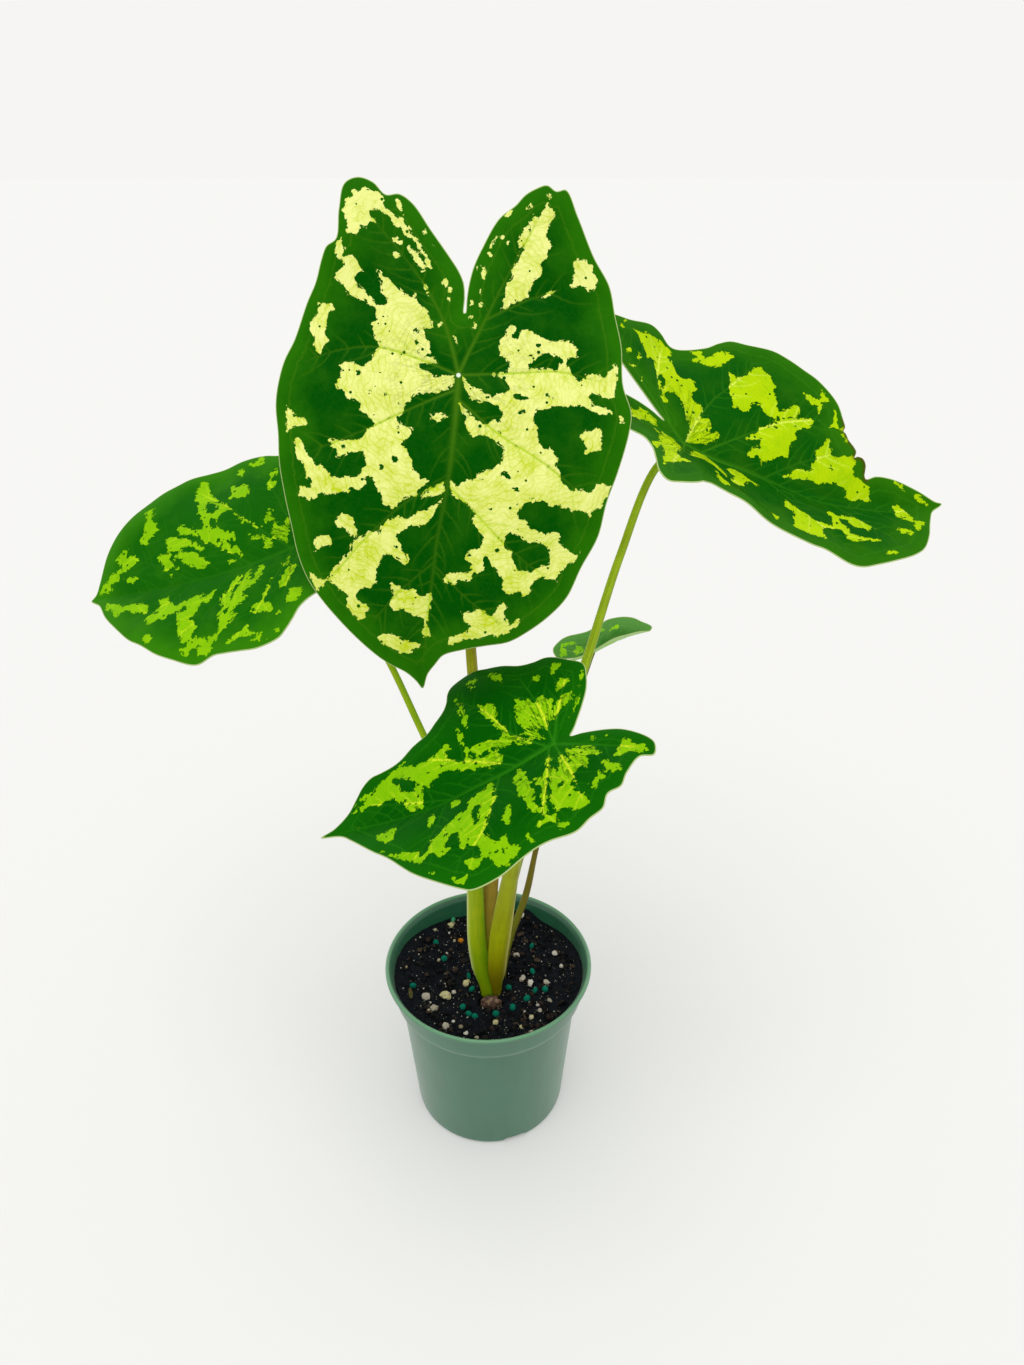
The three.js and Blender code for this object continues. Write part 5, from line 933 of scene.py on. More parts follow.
def make_blade(name, material, mesh_step=BLADE_MESH):
    """One leaf blade: a thin quilted sheet, its veins sunk above and raised below, with a rounded rim."""
    leaf = LEAVES[name]
    edge = smooth_ring(leaf["outline"], mesh_step)
    ribs = rib_lines(leaf)
    veins = thin_veins(ribs, edge, np.random.default_rng(len(name) + 3))
    grid = staggered_grid(edge.min(0), edge.max(0), mesh_step)
    inner = grid[ring_depth(grid, edge) > 0.45 * mesh_step]
    # Mesh edges run along every vein, so that each stays one sharp line
    lines = [rib for _, rib in ribs] + veins
    inside = np.split(
        ring_depth(np.vstack(lines), edge) > 0.5, np.cumsum([len(line) for line in lines])[:-1],
    )
    lines = [line[kept] for line, kept in zip(lines, inside) if kept.sum() > 1]
    for line in lines:
        near = np.all((inner > line.min(0) - 1) & (inner < line.max(0) + 1), axis=1)
        close = np.zeros(len(inner), bool)
        close[near] = line_distance(inner[near], line)[0] < 0.4 * mesh_step
        inner = inner[~close]
    count = len(edge)
    along_veins = []
    first = count + len(inner)
    for line in lines:
        along_veins += [(first + i, first + i + 1) for i in range(len(line) - 1)]
        first += len(line)
    flat, sheet, rim = filled_sheet(np.vstack([edge, inner] + lines), count, along_veins, 1e-4, -1)
    margin = ring_depth(flat, edge).clip(0)
    margin = np.where(margin <= 0, line_distance(flat, np.vstack([edge, edge[:1]]))[0], margin)
    rib, mark, vein, nearest = vein_fields(ribs, veins, flat)
    points, normals = leaf_points(leaf, flat), leaf_normals(leaf, flat)
    swell = np.clip(margin / 5, 0, 1)
    quilt = QUILTING * (1 - np.exp(-((nearest / 4.5) ** 2)) - 0.5) * swell
    groove = (0.26 * mark + 0.1 * vein) * swell
    half = 0.5 * (RIM_THICKNESS + (BLADE_THICKNESS - RIM_THICKNESS) * np.clip(margin / 3, 0, 1))
    top = points + normals * (half + quilt - groove)[:, None]
    bottom = points + normals * (quilt - half - 0.8 * rib)[:, None]
    upper = len(flat)
    faces = sheet.tolist() + (sheet[:, ::-1] + upper).tolist()
    faces += [(b, a, a + upper, b + upper) for a, b in rim]
    both = lambda values: np.concatenate([values, values])
    reach = np.hypot(flat[:, 0], flat[:, 1])
    return add_piece(
        "blade_" + name + "_leaf", np.vstack([top, bottom]), faces, material,
        flat=np.vstack([np.column_stack([flat, np.zeros(upper)])] * 2),
        patch=both(patch_depth(name, flat)), rib=both(mark), vein=both(vein), margin=both(margin),
        reach=both(reach), around=both(np.arctan2(flat[:, 1], flat[:, 0])),
        under=np.concatenate([np.zeros(upper), np.ones(upper)]), scorch=both(scorch(name, flat)),
    )


def make_leaf_skin(name, heart, middle, edge, patch, patch_line, vein, vein_in_patch, underside, scar,
                   speckle, streak, ragged):
    """Living leaf skin: a waxy cuticle over deep green, satin and with little glare, with pale patches where
    the green is missing. The patches keep a net of greener hair veins, which their ragged edges follow."""
    material, add = new_material(name)
    flat = add("Attribute", attribute_name="flat").outputs["Vector"]
    inside, rib, fine_vein, margin, reach, around, under, scorched = (
        add("Attribute", attribute_name=key).outputs["Fac"]
        for key in ("patch", "rib", "vein", "margin", "reach", "around", "under", "scorch")
    )

    # A patch ends along the islands between hair veins, 1.8 mm across, and wanders by 2.5 mm waves
    wander = add("TexNoise", {"Vector": flat, "Scale": 0.42, "Detail": 4, "Roughness": 0.7})
    shaken = add("VectorMath MULTIPLY_ADD", wander.outputs["Color"], (1.2, 1.2, 0), flat)
    island = add("TexVoronoi", {"Vector": shaken, "Scale": 0.56})
    draw = add("SeparateColor", island.outputs["Color"])
    depth = add("Math MULTIPLY_ADD", add("Math SUBTRACT", wander, 0.5), 1.5, inside)
    depth = add("Math MULTIPLY_ADD", add("Math SUBTRACT", draw, 0.5), ragged, depth)
    # with chips out of it 0.8 mm across
    chip = add("TexVoronoi", {"Vector": shaken, "Scale": 1.25})
    chipped = add("SeparateColor", chip.outputs["Color"])
    depth = add("Math MULTIPLY_ADD", add("Math SUBTRACT", chipped, 0.5), 0.45 * ragged, depth)
    # Near the stalk the patches break into rays that point at it
    polar = add("CombineXYZ", add("Math MULTIPLY", around, 7.0), add("Math MULTIPLY", reach, 0.09))
    rays = add("TexNoise", {"Vector": polar, "Scale": 1.0, "Detail": 3, "Roughness": 0.6})
    shine = add(
        "Math MULTIPLY", add("Math SUBTRACT", rays, 0.5),
        add("MapRange", reach, 12.0, 45.0, streak, 0.2 * streak),
    )
    depth = add("Math ADD", depth, shine)
    pale = add("MapRange", depth, -0.08, 0.1)
    # and thin green rays run through them there
    ray = add("MapRange", add("Math ABSOLUTE", add("Math SUBTRACT", rays, 0.5)), 0.012, 0.04, 1.0, 0.0)
    ray = add("Math MULTIPLY", ray, add("MapRange", reach, 12.0, 32.0, 0.3 * streak, 0.0), use_clamp=True)
    pale = add("Math MULTIPLY", pale, add("Math SUBTRACT", 1.0, ray))
    # Hair veins: arcs about the stalk 2.2 mm apart, and a net of 2.8 mm cells between them
    sway = add("TexNoise", {"Vector": flat, "Scale": 0.09, "Detail": 3})
    wave = add("Math MULTIPLY", add("Math MULTIPLY_ADD", sway, 14.0, reach), math.pi / 2.2)
    arcs = add("MapRange", add("Math ABSOLUTE", add("Math SINE", wave)), 0.0, 0.5, 1.0, 0.0)
    cells = add("TexVoronoi DISTANCE_TO_EDGE", {"Vector": shaken, "Scale": 0.36})
    net = add("MapRange", cells.outputs["Distance"], 0.0, 0.09, 1.0, 0.0)
    hair = add("Math MAXIMUM", add("Math MULTIPLY", arcs, 0.75), add("Math MULTIPLY", net, 0.42))
    # Green specks up to 1.3 mm across, scattered in the patches
    seeds = add("TexVoronoi", {"Vector": flat, "Scale": 0.4})
    drawn = add("SeparateColor", seeds.outputs["Color"])
    size = add("MapRange", drawn, 1 - speckle, 1.0, 0.0, 0.26)
    speck = add("Math LESS_THAN", seeds.outputs["Distance"], size)
    pale = add("Math MULTIPLY", pale, add("Math SUBTRACT", 1.0, speck))
    # Green: dark at the heart, browner in clouds of 17 mm, lighter and yellower towards the margin
    cloud = add("TexNoise", {"Vector": flat, "Scale": 0.06, "Detail": 4, "Roughness": 0.6})
    green = add("Mix RGBA", add("MapRange", cloud, 0.48, 0.72), linear(heart), linear(middle))
    near = add("Math MULTIPLY_ADD", cloud, 0.9, add("MapRange", margin, 20.0, 1.0, -0.45, 0.45))
    green = add("Mix RGBA", add("MapRange", near, 0.2, 0.9), green, linear(edge))
    gather = add("Math ABSOLUTE", add("Math MULTIPLY_ADD", wander, 3.0, add("Math SUBTRACT", margin, 6.8)))
    thin = add("Math MAXIMUM", fine_vein, add("MapRange", gather, 0.12, 0.5, 0.8, 0.0))
    thin = add("Math MAXIMUM", thin, add("Math MULTIPLY", net, 0.12))
    strong = add(
        "Math MAXIMUM", add("Math MULTIPLY", thin, 0.44),
        add("Math MULTIPLY", rib, add("MapRange", reach, 8.0, 45.0, 0.85, 0.4)),
    )
    green = add("Mix RGBA", strong, green, linear(vein))
    # Patches: hair veins, stronger in mottles of 8 mm and towards the tip, then ribs that are broken by
    # dashes of green
    mottle = add("TexNoise", {"Vector": flat, "Scale": 0.13, "Detail": 4})
    lines = add("Math MULTIPLY", hair, add("MapRange", mottle, 0.3, 0.7, 0.45, 1.0))
    lines = add("Math ADD", lines, add("MapRange", mottle, 0.38, 0.72, 0.0, 0.55), use_clamp=True)
    lengthwise = add("SeparateXYZ", flat)
    lines = add("Math ADD", lines, add("MapRange", lengthwise, -20.0, 110.0, -0.12, 0.22), use_clamp=True)
    body = add("Mix RGBA", lines, linear(patch), linear(patch_line))
    body = add(
        "Mix RGBA", add("Math MAXIMUM", rib, add("Math MULTIPLY", fine_vein, 0.45)), body,
        linear(vein_in_patch),
    )
    dash = add("Math MULTIPLY", add("MapRange", wander, 0.55, 0.62), add("Math MULTIPLY", rib, 0.75))
    body = add("Mix RGBA", dash, body, linear(edge))
    upper = add("Mix RGBA", pale, green, body)
    # The little scar over the stalk
    upper = add("Mix RGBA", add("MapRange", reach, 0.95, 0.65), upper, linear(scar))
    # The underside is duller and paler, and the patches show through it
    lower = add("Mix RGBA", add("Math MULTIPLY", pale, 0.6), linear(underside), linear(patch))
    lower = add("Mix RGBA", add("Math MULTIPLY", rib, 0.6), lower, linear(vein_in_patch))
    colour = add("Mix RGBA", under, upper, lower)
    # A thin pale rim, a painted highlight along the edge of the blade, and the browned edge of a tear
    colour = add("Mix RGBA", add("MapRange", margin, 0.4, 0.15, 0.0, 0.8), colour, linear("#C0D28C"))
    burnt = add("Math MULTIPLY", scorched, add("MapRange", wander, 0.35, 0.6, 0.25, 1.0))
    colour = add("Mix RGBA", burnt, colour, linear("#4A3208"))
    # Relief of the hair veins and of the skin's own pebble of 0.9 mm, under 0.2 mm high
    pebble = add("TexNoise", {"Vector": flat, "Scale": 1.1, "Detail": 3})
    height = add("Math MULTIPLY_ADD", hair, -0.5, pebble)
    relief = add("Bump", {"Height": height, "Strength": 0.4, "Distance": 0.15 * MM})
    skin = add(
        "BsdfPrincipled",
        {
            "Base Color": colour, "Roughness": 0.42, "IOR": 1.42, "Specular IOR Level": 0.02,
            "Normal": relief,
        },
    )
    add("OutputMaterial", {"Surface": skin})
    return material


# Driving dimensions of the stalks
STALK_SIDES = 28
STALK_STATIONS = 150


def tube(centres, across, up, widths, heights, outline):
    """A closed tube. outline gives the radius, as a share, at each station and side."""
    sides = outline.shape[1]
    turn = 2 * np.pi * np.arange(sides) / sides
    ring = (
        across[:, None, :] * (widths[:, None] * np.cos(turn) * outline)[:, :, None]
        + up[:, None, :] * (heights[:, None] * np.sin(turn) * outline)[:, :, None]
    )
    points = (centres[:, None, :] + ring).reshape(-1, 3)
    faces = band_faces(len(centres), sides)
    last = (len(centres) - 1) * sides
    points = np.vstack([points, centres[0], centres[-1]])
    for i in range(sides):
        j = (i + 1) % sides
        faces.append((len(points) - 2, j, i))
        faces.append((len(points) - 1, last + i, last + j))
    return points, faces


# The sheath of each stalk: the side where its thin margin stands, in degrees about the stalk, the height at
# which it closes, and how far it stands out as a share of the stalk's half width.
SHEATHS = {
    "tall": (150, 168, 0.16), "left": (178, 165, 0.3), "right": (40, 150, 0.14), "front": (8, 172, 0.2),
    "back": (90, 110, 0.1),
}


def make_stalk(name, material):
    """A fleshy stalk, faintly ridged along its length, with the thin margins of its sheath low down."""
    leaf = LEAVES[name]
    _, normal, _ = leaf_axes(leaf)
    reach = 0.5 * BLADE_THICKNESS + 0.5 * leaf["ribs"][0][0]
    end = np.array(leaf["attach"]) - normal * reach
    rows = np.array(STALKS[name])
    shares = np.linspace(0, 1, STALK_STATIONS)
    centres = smooth_path(np.vstack([rows[:, :3], end]), shares)
    sizes = smooth_path(np.vstack([rows[:, 3:], rows[-1, 3:]]), shares)
    direction = np.gradient(centres, axis=0)
    blend = np.clip((shares - 0.965) / 0.035, 0, 1)[:, None]
    direction = direction / np.linalg.norm(direction, axis=1)[:, None]
    direction = direction * (1 - blend) + normal * blend
    up = np.cross(direction, [1.0, 0, 0])
    up /= np.linalg.norm(up, axis=1)[:, None]
    across = np.cross(up, direction)
    across /= np.linalg.norm(across, axis=1)[:, None]
    turn = 360 * np.arange(STALK_SIDES) / STALK_SIDES
    side, closes, stand = SHEATHS[name]
    heights = centres[:, 2]
    open_part = np.clip((closes - heights) / 30, 0, 1) * np.clip((heights - 82) / 12, 0, 1)
    off = np.abs((turn - side + 180) % 360 - 180)
    fin = np.exp(-((off / 17) ** 2))
    crease = np.exp(-(((off - 42) / 13) ** 2))
    ridges = 0.018 * np.sin(np.radians(turn) * 7 + 1.3)
    outline = 1 + ridges[None, :] + open_part[:, None] * (stand * fin - 0.13 * crease)[None, :]
    flare = 1 + 0.35 * np.clip((shares - 0.975) / 0.025, 0, 1) ** 2
    points, faces = tube(centres, across, up, sizes[:, 0] * flare, sizes[:, 1] * flare, outline)
    travelled = np.concatenate([[0], np.cumsum(np.linalg.norm(np.diff(centres, axis=0), axis=1))])
    spread = lambda values: np.concatenate([np.repeat(values, STALK_SIDES), values[[0, -1]]])
    around = np.concatenate([np.tile(np.radians(turn), STALK_STATIONS), [0, 0]])
    skin = np.column_stack([2.2 * np.cos(around), 2.2 * np.sin(around), spread(travelled)])
    fin_at = np.concatenate([np.outer(open_part, fin).ravel(), [0, 0]])
    # The side of the stalk that its skin darkens with painted shade
    painted_shade_side = np.cos(around)
    return add_piece(
        "petiole_" + name + "_stalk", points, faces, material,
        skin=skin, height=spread(heights), fin=fin_at, left=-painted_shade_side,
    )


def make_stalk_skin(name, low, middle, high, shade, fin):
    """Smooth fleshy stalk: a thin glossy skin over wet tissue, streaked lengthwise, browner or paler by its
    height, with painted shade down its right-hand side and the sheath's margin nearly without green."""
    material, add = new_material(name)
    place = add("Attribute", attribute_name="skin").outputs["Vector"]
    height, on_fin, left = (
        add("Attribute", attribute_name=key).outputs["Fac"] for key in ("height", "fin", "left")
    )
    stretch = add("VectorMath MULTIPLY", place, (1, 1, 0.045))
    # Streaks 0.8 mm wide and blotches 9 mm across
    streak = add("TexNoise", {"Vector": stretch, "Scale": 1.3, "Detail": 3})
    blotch = add("TexNoise", {"Vector": place, "Scale": 0.11, "Detail": 3})
    up_low = add("MapRange", height, 88.0, 125.0, interpolation_type="SMOOTHSTEP")
    up_high = add("MapRange", height, 150.0, 215.0, interpolation_type="SMOOTHSTEP")
    colour = add("Mix RGBA", up_low, linear(low), linear(middle))
    colour = add("Mix RGBA", up_high, colour, linear(high))
    tone = add("Math ADD", streak, blotch)
    dark = add("MapRange", tone, 0.85, 1.25, 0.0, 0.45)
    # Painted shade: the right-hand side of each stalk is darkened towards the shade colour
    side = add("MapRange", left, -0.2, -1.0, 0.0, 0.55)
    dark = add("Math ADD", dark, side, use_clamp=True)
    colour = add("Mix RGBA", dark, colour, linear(shade))
    colour = add("Mix RGBA", on_fin, colour, linear(fin))
    relief = add("Bump", {"Height": streak, "Strength": 0.25, "Distance": 0.2 * MM})
    skin = add(
        "BsdfPrincipled",
        {"Base Color": colour, "Roughness": 0.38, "IOR": 1.4, "Specular IOR Level": 0.16, "Normal": relief},
    )
    add("OutputMaterial", {"Surface": skin})
    return material


def inner_radius(height):
    """Radius of the pot's inner wall at a height."""
    profile = sorted((z, r) for r, z in POT_INSIDE if r > 0)
    return np.interp(height, [z for z, _ in profile], [r for _, r in profile])


def rounded(profile, size):
    """A profile with each corner rounded by a short curve."""
    made = [profile[0]]
    for before, corner, after in zip(profile, profile[1:], profile[2:]):
        before, corner, after = map(np.array, (before, corner, after))
        cut = lambda other: corner + (other - corner) * min(
            0.42, size / max(np.hypot(*(other - corner)), 1e-6),
        )
        start, stop = cut(before), cut(after)
        for share in (0, 0.25, 0.5, 0.75, 1):
            made.append(
                tuple((1 - share) ** 2 * start + 2 * share * (1 - share) * corner + share**2 * stop)
            )
    return made + [profile[-1]]


def make_pot(material):
    """The thermoformed pot: a turned wall with a rolled lip and a stepped collar, notched at its base."""
    section = rounded(POT_OUTSIDE + POT_INSIDE, 0.8)
    # Long straight runs take more rings, so that the wall's slight waviness has points to move
    fine = []
    for (r0, z0), (r1, z1) in zip(section, section[1:]):
        steps = max(1, int(math.hypot(r1 - r0, z1 - z0) / 3))
        fine += [(r0 + (r1 - r0) * k / steps, z0 + (z1 - z0) * k / steps) for k in range(steps)]
    fine = [p for p in fine if p[0] > 0.01]
    points = []
    for r, z in fine:
        for i in range(POT_SIDES):
            angle = 2 * math.pi * i / POT_SIDES
            wobble = 0.12 * noise.noise(Vector((1.6 * math.cos(angle), 1.6 * math.sin(angle), z / 30)))
            inset = wobble * min(1, z / 20) * (1 if z < 84 else 0.3)
            points.append(((r - abs(inset)) * math.cos(angle), (r - abs(inset)) * math.sin(angle), z))
    pot = add_piece("pot_shell", points, closed_faces(len(fine), POT_SIDES), material)
    # The section of an arched notch, as shares of its width and heights, which is pushed out through the wall
    arch = [
        (-0.5, -2), (0.5, -2), (0.5, 1.6), (0.44, 2.5), (0.32, 3), (-0.32, 3), (-0.44, 2.5), (-0.5, 1.6),
    ]
    for angle in DRAIN_ANGLES:
        turn = math.radians(angle)
        ahead = Vector((math.cos(turn), math.sin(turn), 0))
        aside = Vector((-math.sin(turn), math.cos(turn), 0))
        corners = [
            ahead * reach + aside * (share * DRAIN_WIDTH) + Vector((0, 0, height))
            for reach in DRAIN_CUT for share, height in arch
        ]
        cutter = add_piece(
            "notch_cutter", [tuple(c) for c in corners], closed_faces(2, len(arch)), material,
        )
        cut = pot.modifiers.new("notch", "BOOLEAN")
        cut.object = cutter
        cut.solver = "EXACT"
        cutter["spent"] = True
    graph = bpy.context.evaluated_depsgraph_get()
    mesh = bpy.data.meshes.new_from_object(pot.evaluated_get(graph))
    pot.modifiers.clear()
    pot.data = mesh
    for cutter in [o for o in bpy.data.objects if o.get("spent")]:
        bpy.data.objects.remove(cutter)
    mesh.set_sharp_from_angle(angle=math.radians(38))
    return pot


def make_pot_plastic():
    """Thermoformed polypropylene: satin and slightly uneven, with a fine mould grain and faint vertical draw
    marks, dust that shows where it is seen aslant, and a painted highlight along the crest of its lip."""
    material, add = new_material("satin_thermoformed_polypropylene")
    place = add("TexCoord").outputs["Object"]
    tall = add("VectorMath MULTIPLY", place, (1, 1, 0.12))
    # Draw marks 6 mm apart, clouds 40 mm across and a mould grain of 0.4 mm
    marks = add("TexNoise", {"Vector": tall, "Scale": 160.0, "Detail": 3})
    cloud = add("TexNoise", {"Vector": place, "Scale": 26.0, "Detail": 4})
    grain = add("TexNoise", {"Vector": place, "Scale": 2400.0, "Detail": 2})
    tone = add("Math ADD", marks, cloud)
    tone = add("MapRange", tone, 0.7, 1.3)
    colour = add("Mix RGBA", tone, linear("#17583A"), linear("#1F6344"))
    # A painted highlight: a paler band is painted along the crest of the lip
    level = add("SeparateXYZ", place)
    painted_lip_highlight = add("MapRange", level.outputs[2], 87.6 * MM, 88.6 * MM, 0.0, 0.8)
    colour = add("Mix RGBA", painted_lip_highlight, colour, linear("#5C966A"))
    height = add("Math MULTIPLY_ADD", grain, 0.35, marks)
    relief = add("Bump", {"Height": height, "Strength": 0.3, "Distance": 0.08 * MM})
    rough = add("MapRange", cloud, 0.3, 0.7, 0.36, 0.46)
    plastic = add(
        "BsdfPrincipled",
        {
            "Base Color": colour, "Roughness": rough, "IOR": 1.5, "Specular IOR Level": 0.62,
            "Sheen Weight": 0.16, "Sheen Roughness": 0.45, "Sheen Tint": linear("#DCEEDF"),
            "Coat Weight": 0.42, "Coat Roughness": 0.3, "Coat IOR": 1.5, "Normal": relief,
        },
    )
    add("OutputMaterial", {"Surface": plastic})
    return material


def soil_height(x, y):
    """Height of the soil, worked out as in the frame's source."""
    reach = np.minimum(1, np.hypot(x, y) / 45.5)
    angle = np.arctan2(x, y)
    heap = 5.5 * np.exp(-(((angle - math.radians(24)) / 0.16) ** 2))
    wall = 79.4 - 3.1 * np.cos(2 * angle) + heap
    ripple = 0.5 * np.sin(0.33 * x + 0.9) * np.cos(0.29 * y) * (1 - reach)
    return SOIL_LEVEL + (wall - SOIL_LEVEL) * reach**3 + ripple


# Driving dimensions of the soil's detail
SOIL_MESH = 0.62
SOIL_REACH = 46
CRUMBS = 900
SHREDS = 70
FLECKS = 620
PERLITE_GRIT = 26
CHIPS_IN_A_GRAIN = 3


def crumb(rng, size, flat_share, rough, rings=1):
    """A small broken lump about the origin, as points and faces."""
    phi = (1 + 5**0.5) / 2
    points = np.array([
        (-1, phi, 0), (1, phi, 0), (-1, -phi, 0), (1, -phi, 0), (0, -1, phi), (0, 1, phi),
        (0, -1, -phi), (0, 1, -phi), (phi, 0, -1), (phi, 0, 1), (-phi, 0, -1), (-phi, 0, 1),
    ]) / math.hypot(1, phi)
    faces = [
        (0, 11, 5), (0, 5, 1), (0, 1, 7), (0, 7, 10), (0, 10, 11), (1, 5, 9), (5, 11, 4), (11, 10, 2),
        (10, 7, 6), (7, 1, 8), (3, 9, 4), (3, 4, 2), (3, 2, 6), (3, 6, 8), (3, 8, 9), (4, 9, 5),
        (2, 4, 11), (6, 2, 10), (8, 6, 7), (9, 8, 1),
    ]
    for _ in range(rings):
        middle, made = {}, []
        points = list(points)
        for f in faces:
            mids = []
            for a, b in ((f[0], f[1]), (f[1], f[2]), (f[2], f[0])):
                key = (min(a, b), max(a, b))
                if key not in middle:
                    middle[key] = len(points)
                    between = (np.array(points[a]) + np.array(points[b])) / 2
                    points.append(between / np.linalg.norm(between))
                mids.append(middle[key])
            made += [
                (f[0], mids[0], mids[2]), (f[1], mids[1], mids[0]), (f[2], mids[2], mids[1]), tuple(mids),
            ]
        faces = made
        points = np.array(points)
    points = points * (1 + rough * (rng.random(len(points)) - 0.5))[:, None]
    points = points * size * np.array([1, 0.6 + 0.4 * rng.random(), flat_share])
    turn = rng.random() * 2 * math.pi
    tip = (rng.random(2) - 0.5) * 0.9
    spin = np.array([[math.cos(turn), -math.sin(turn), 0], [math.sin(turn), math.cos(turn), 0], [0, 0, 1]])
    lean = np.array([[1, 0, tip[0]], [0, 1, tip[1]], [-tip[0], -tip[1], 1]])
    return points @ lean.T @ spin.T, faces


def make_soil(material):
    """Dark peat mix that fills the pot: a broken surface, loose crumbs and bark shreds, perlite, prills."""
    rng = np.random.default_rng(11)
    angle = np.arange(0, 2 * math.pi, SOIL_MESH / 45)
    wall_height = soil_height(SOIL_REACH * np.cos(angle), SOIL_REACH * np.sin(angle))
    wall = inner_radius(wall_height) - FIT_GAP
    edge = np.column_stack([wall * np.cos(angle), wall * np.sin(angle)])
    grid = staggered_grid((-SOIL_REACH, -SOIL_REACH), (SOIL_REACH, SOIL_REACH), SOIL_MESH)
    grid = grid + (rng.random(grid.shape) - 0.5) * 0.25 * SOIL_MESH
    inner = grid[ring_depth(grid, edge) > 0.5 * SOIL_MESH]
    flat, sheet, rim_edges = filled_sheet(np.vstack([edge, inner]), len(edge), [], 1e-5, 1)
    height = soil_height(flat[:, 0], flat[:, 1])
    # Clods 6 mm across, crumbs 2 mm and grit 0.8 mm
    lumps = np.array([
        1.5 * noise.fractal(Vector((x * 0.16, y * 0.16, 3.1)), 0.9, 2.2, 5)
        + 0.9 * abs(noise.noise(Vector((x * 0.55, y * 0.55, 7.7))))
        + 0.55 * noise.noise(Vector((x * 1.3, y * 1.3, 1.2)))
        for x, y in flat.tolist()
    ])
    inside = np.clip(ring_depth(flat, edge) / 3, 0, 1)
    height = height + (lumps - 0.25) * (0.3 + 0.7 * inside)
    # Wells where the stalks and the scar bud stand
    wells = [(SCAR_BUD["x"], SCAR_BUD["y"], SCAR_BUD["width"], SCAR_BUD["depth"])]
    for rows_of in STALKS.values():
        low = np.array(rows_of[1])
        wells.append((low[0], low[1], low[3], low[4]))
    for x, y, width, depth in wells:
        off = np.hypot((flat[:, 0] - x) / (width + 0.35), (flat[:, 1] - y) / (depth + 0.35))
        height = np.where(
            off < 1, np.minimum(height, 74), height - 0.5 * np.exp(-(((off - 1) / 0.25) ** 2)),
        )
    points = [np.column_stack([flat, height])]
    faces = sheet.tolist()
    follow = dict(rim_edges)
    rim = [next(iter(follow))]
    while follow[rim[-1]] != rim[0]:
        rim.append(follow[rim[-1]])
    rim_angle = np.arctan2(flat[rim, 1], flat[rim, 0])
    total = len(flat)
    previous = rim
    for level in (74.8, 73, 70.6, 3.1, SOIL_BOTTOM):
        radius = inner_radius(level) - FIT_GAP
        ring_x, ring_y = radius * np.cos(rim_angle), radius * np.sin(rim_angle)
        points.append(np.column_stack([ring_x, ring_y, np.full(len(rim), level)]))
        ring = list(range(total, total + len(rim)))
        for i in range(len(rim)):
            j = (i + 1) % len(rim)
            faces.append((previous[j], previous[i], ring[i], ring[j]))
        previous = ring
        total += len(rim)
    faces.append(previous)
    tints = [np.zeros((total, 3))]
    grainy = [np.zeros(total)]

    def lay(shape, x, y, sink, tint):
        nonlocal total
        lump, lump_faces = shape
        ground = soil_height(np.array([x]), np.array([y]))[0]
        points.append(lump + np.array([x, y, ground + sink]))
        faces.extend([tuple(i + total for i in f) for f in lump_faces])
        tints.append(np.tile(linear(tint)[:3], (len(lump), 1)))
        grainy.append(np.ones(len(lump)))
        total += len(lump)

    def somewhere(low, high):
        reach, turn = low + (high - low) * math.sqrt(rng.random()), 2 * math.pi * rng.random()
        return reach, reach * math.cos(turn), reach * math.sin(turn)

    def clear_of_stalks(x, y, room):
        return all(math.hypot((x - wx) / (w + room), (y - wy) / (d + room)) > 1 for wx, wy, w, d in wells)

    browns = ["#08090B", "#0C0D10", "#121214", "#1B1816", "#241C17", "#0A0B0E", "#0B0C0F", "#332820"]
    for _ in range(CRUMBS):
        reach, x, y = somewhere(0, 44.5)
        size = 0.45 + 1.1 * rng.random() ** 2.5
        if clear_of_stalks(x, y, 1 + size) and reach + size < 44.4:
            lay(crumb(rng, size, 0.75, 0.5, 0), x, y, 0.5 * size, browns[rng.integers(len(browns))])
    for _ in range(SHREDS):
        _, x, y = somewhere(0, 43)
        shred, shred_faces = crumb(rng, 1.0, 0.35, 0.3, 0)
        if clear_of_stalks(x, y, 3):
            long = shred * (0.8 + 1.4 * rng.random())
            long[:, 2] *= 0.4
            lay((long, shred_faces), x, y, 0.9, ["#2A211B", "#3F3328", "#1D1815"][rng.integers(3)])
    for _ in range(FLECKS):
        _, x, y = somewhere(0, 44)
        size = 0.18 + 0.38 * rng.random() ** 3
        if clear_of_stalks(x, y, 1):
            tint = ["#8F8A80", "#6E695C", "#B8B4A8", "#565146"][rng.integers(4)]
            lay(crumb(rng, size, 0.9, 0.3, 0), x, y, 0.85, tint)
    for x, y, size in PERLITE:
        tint = ["#C2B998", "#D8D2C6", "#C6BE8E", "#B9AFA0", "#A89F8C"][rng.integers(5)]
        for _ in range(CHIPS_IN_A_GRAIN):
            off = 0.5 * size * (rng.random(2) - 0.5)
            lay(
                crumb(rng, (0.5 + 0.3 * rng.random()) * size, 0.8, 0.55, 1), x + off[0], y + off[1],
                0.45 * size, tint,
            )
    for _ in range(PERLITE_GRIT):
        _, x, y = somewhere(12, 42)
        size = 0.6 + 0.55 * rng.random()
        if clear_of_stalks(x, y, 2):
            lay(
                crumb(rng, size, 0.85, 0.3, 1), x, y, 0.6,
                ["#A79F88", "#8E8468", "#C9C3B6"][rng.integers(3)],
            )
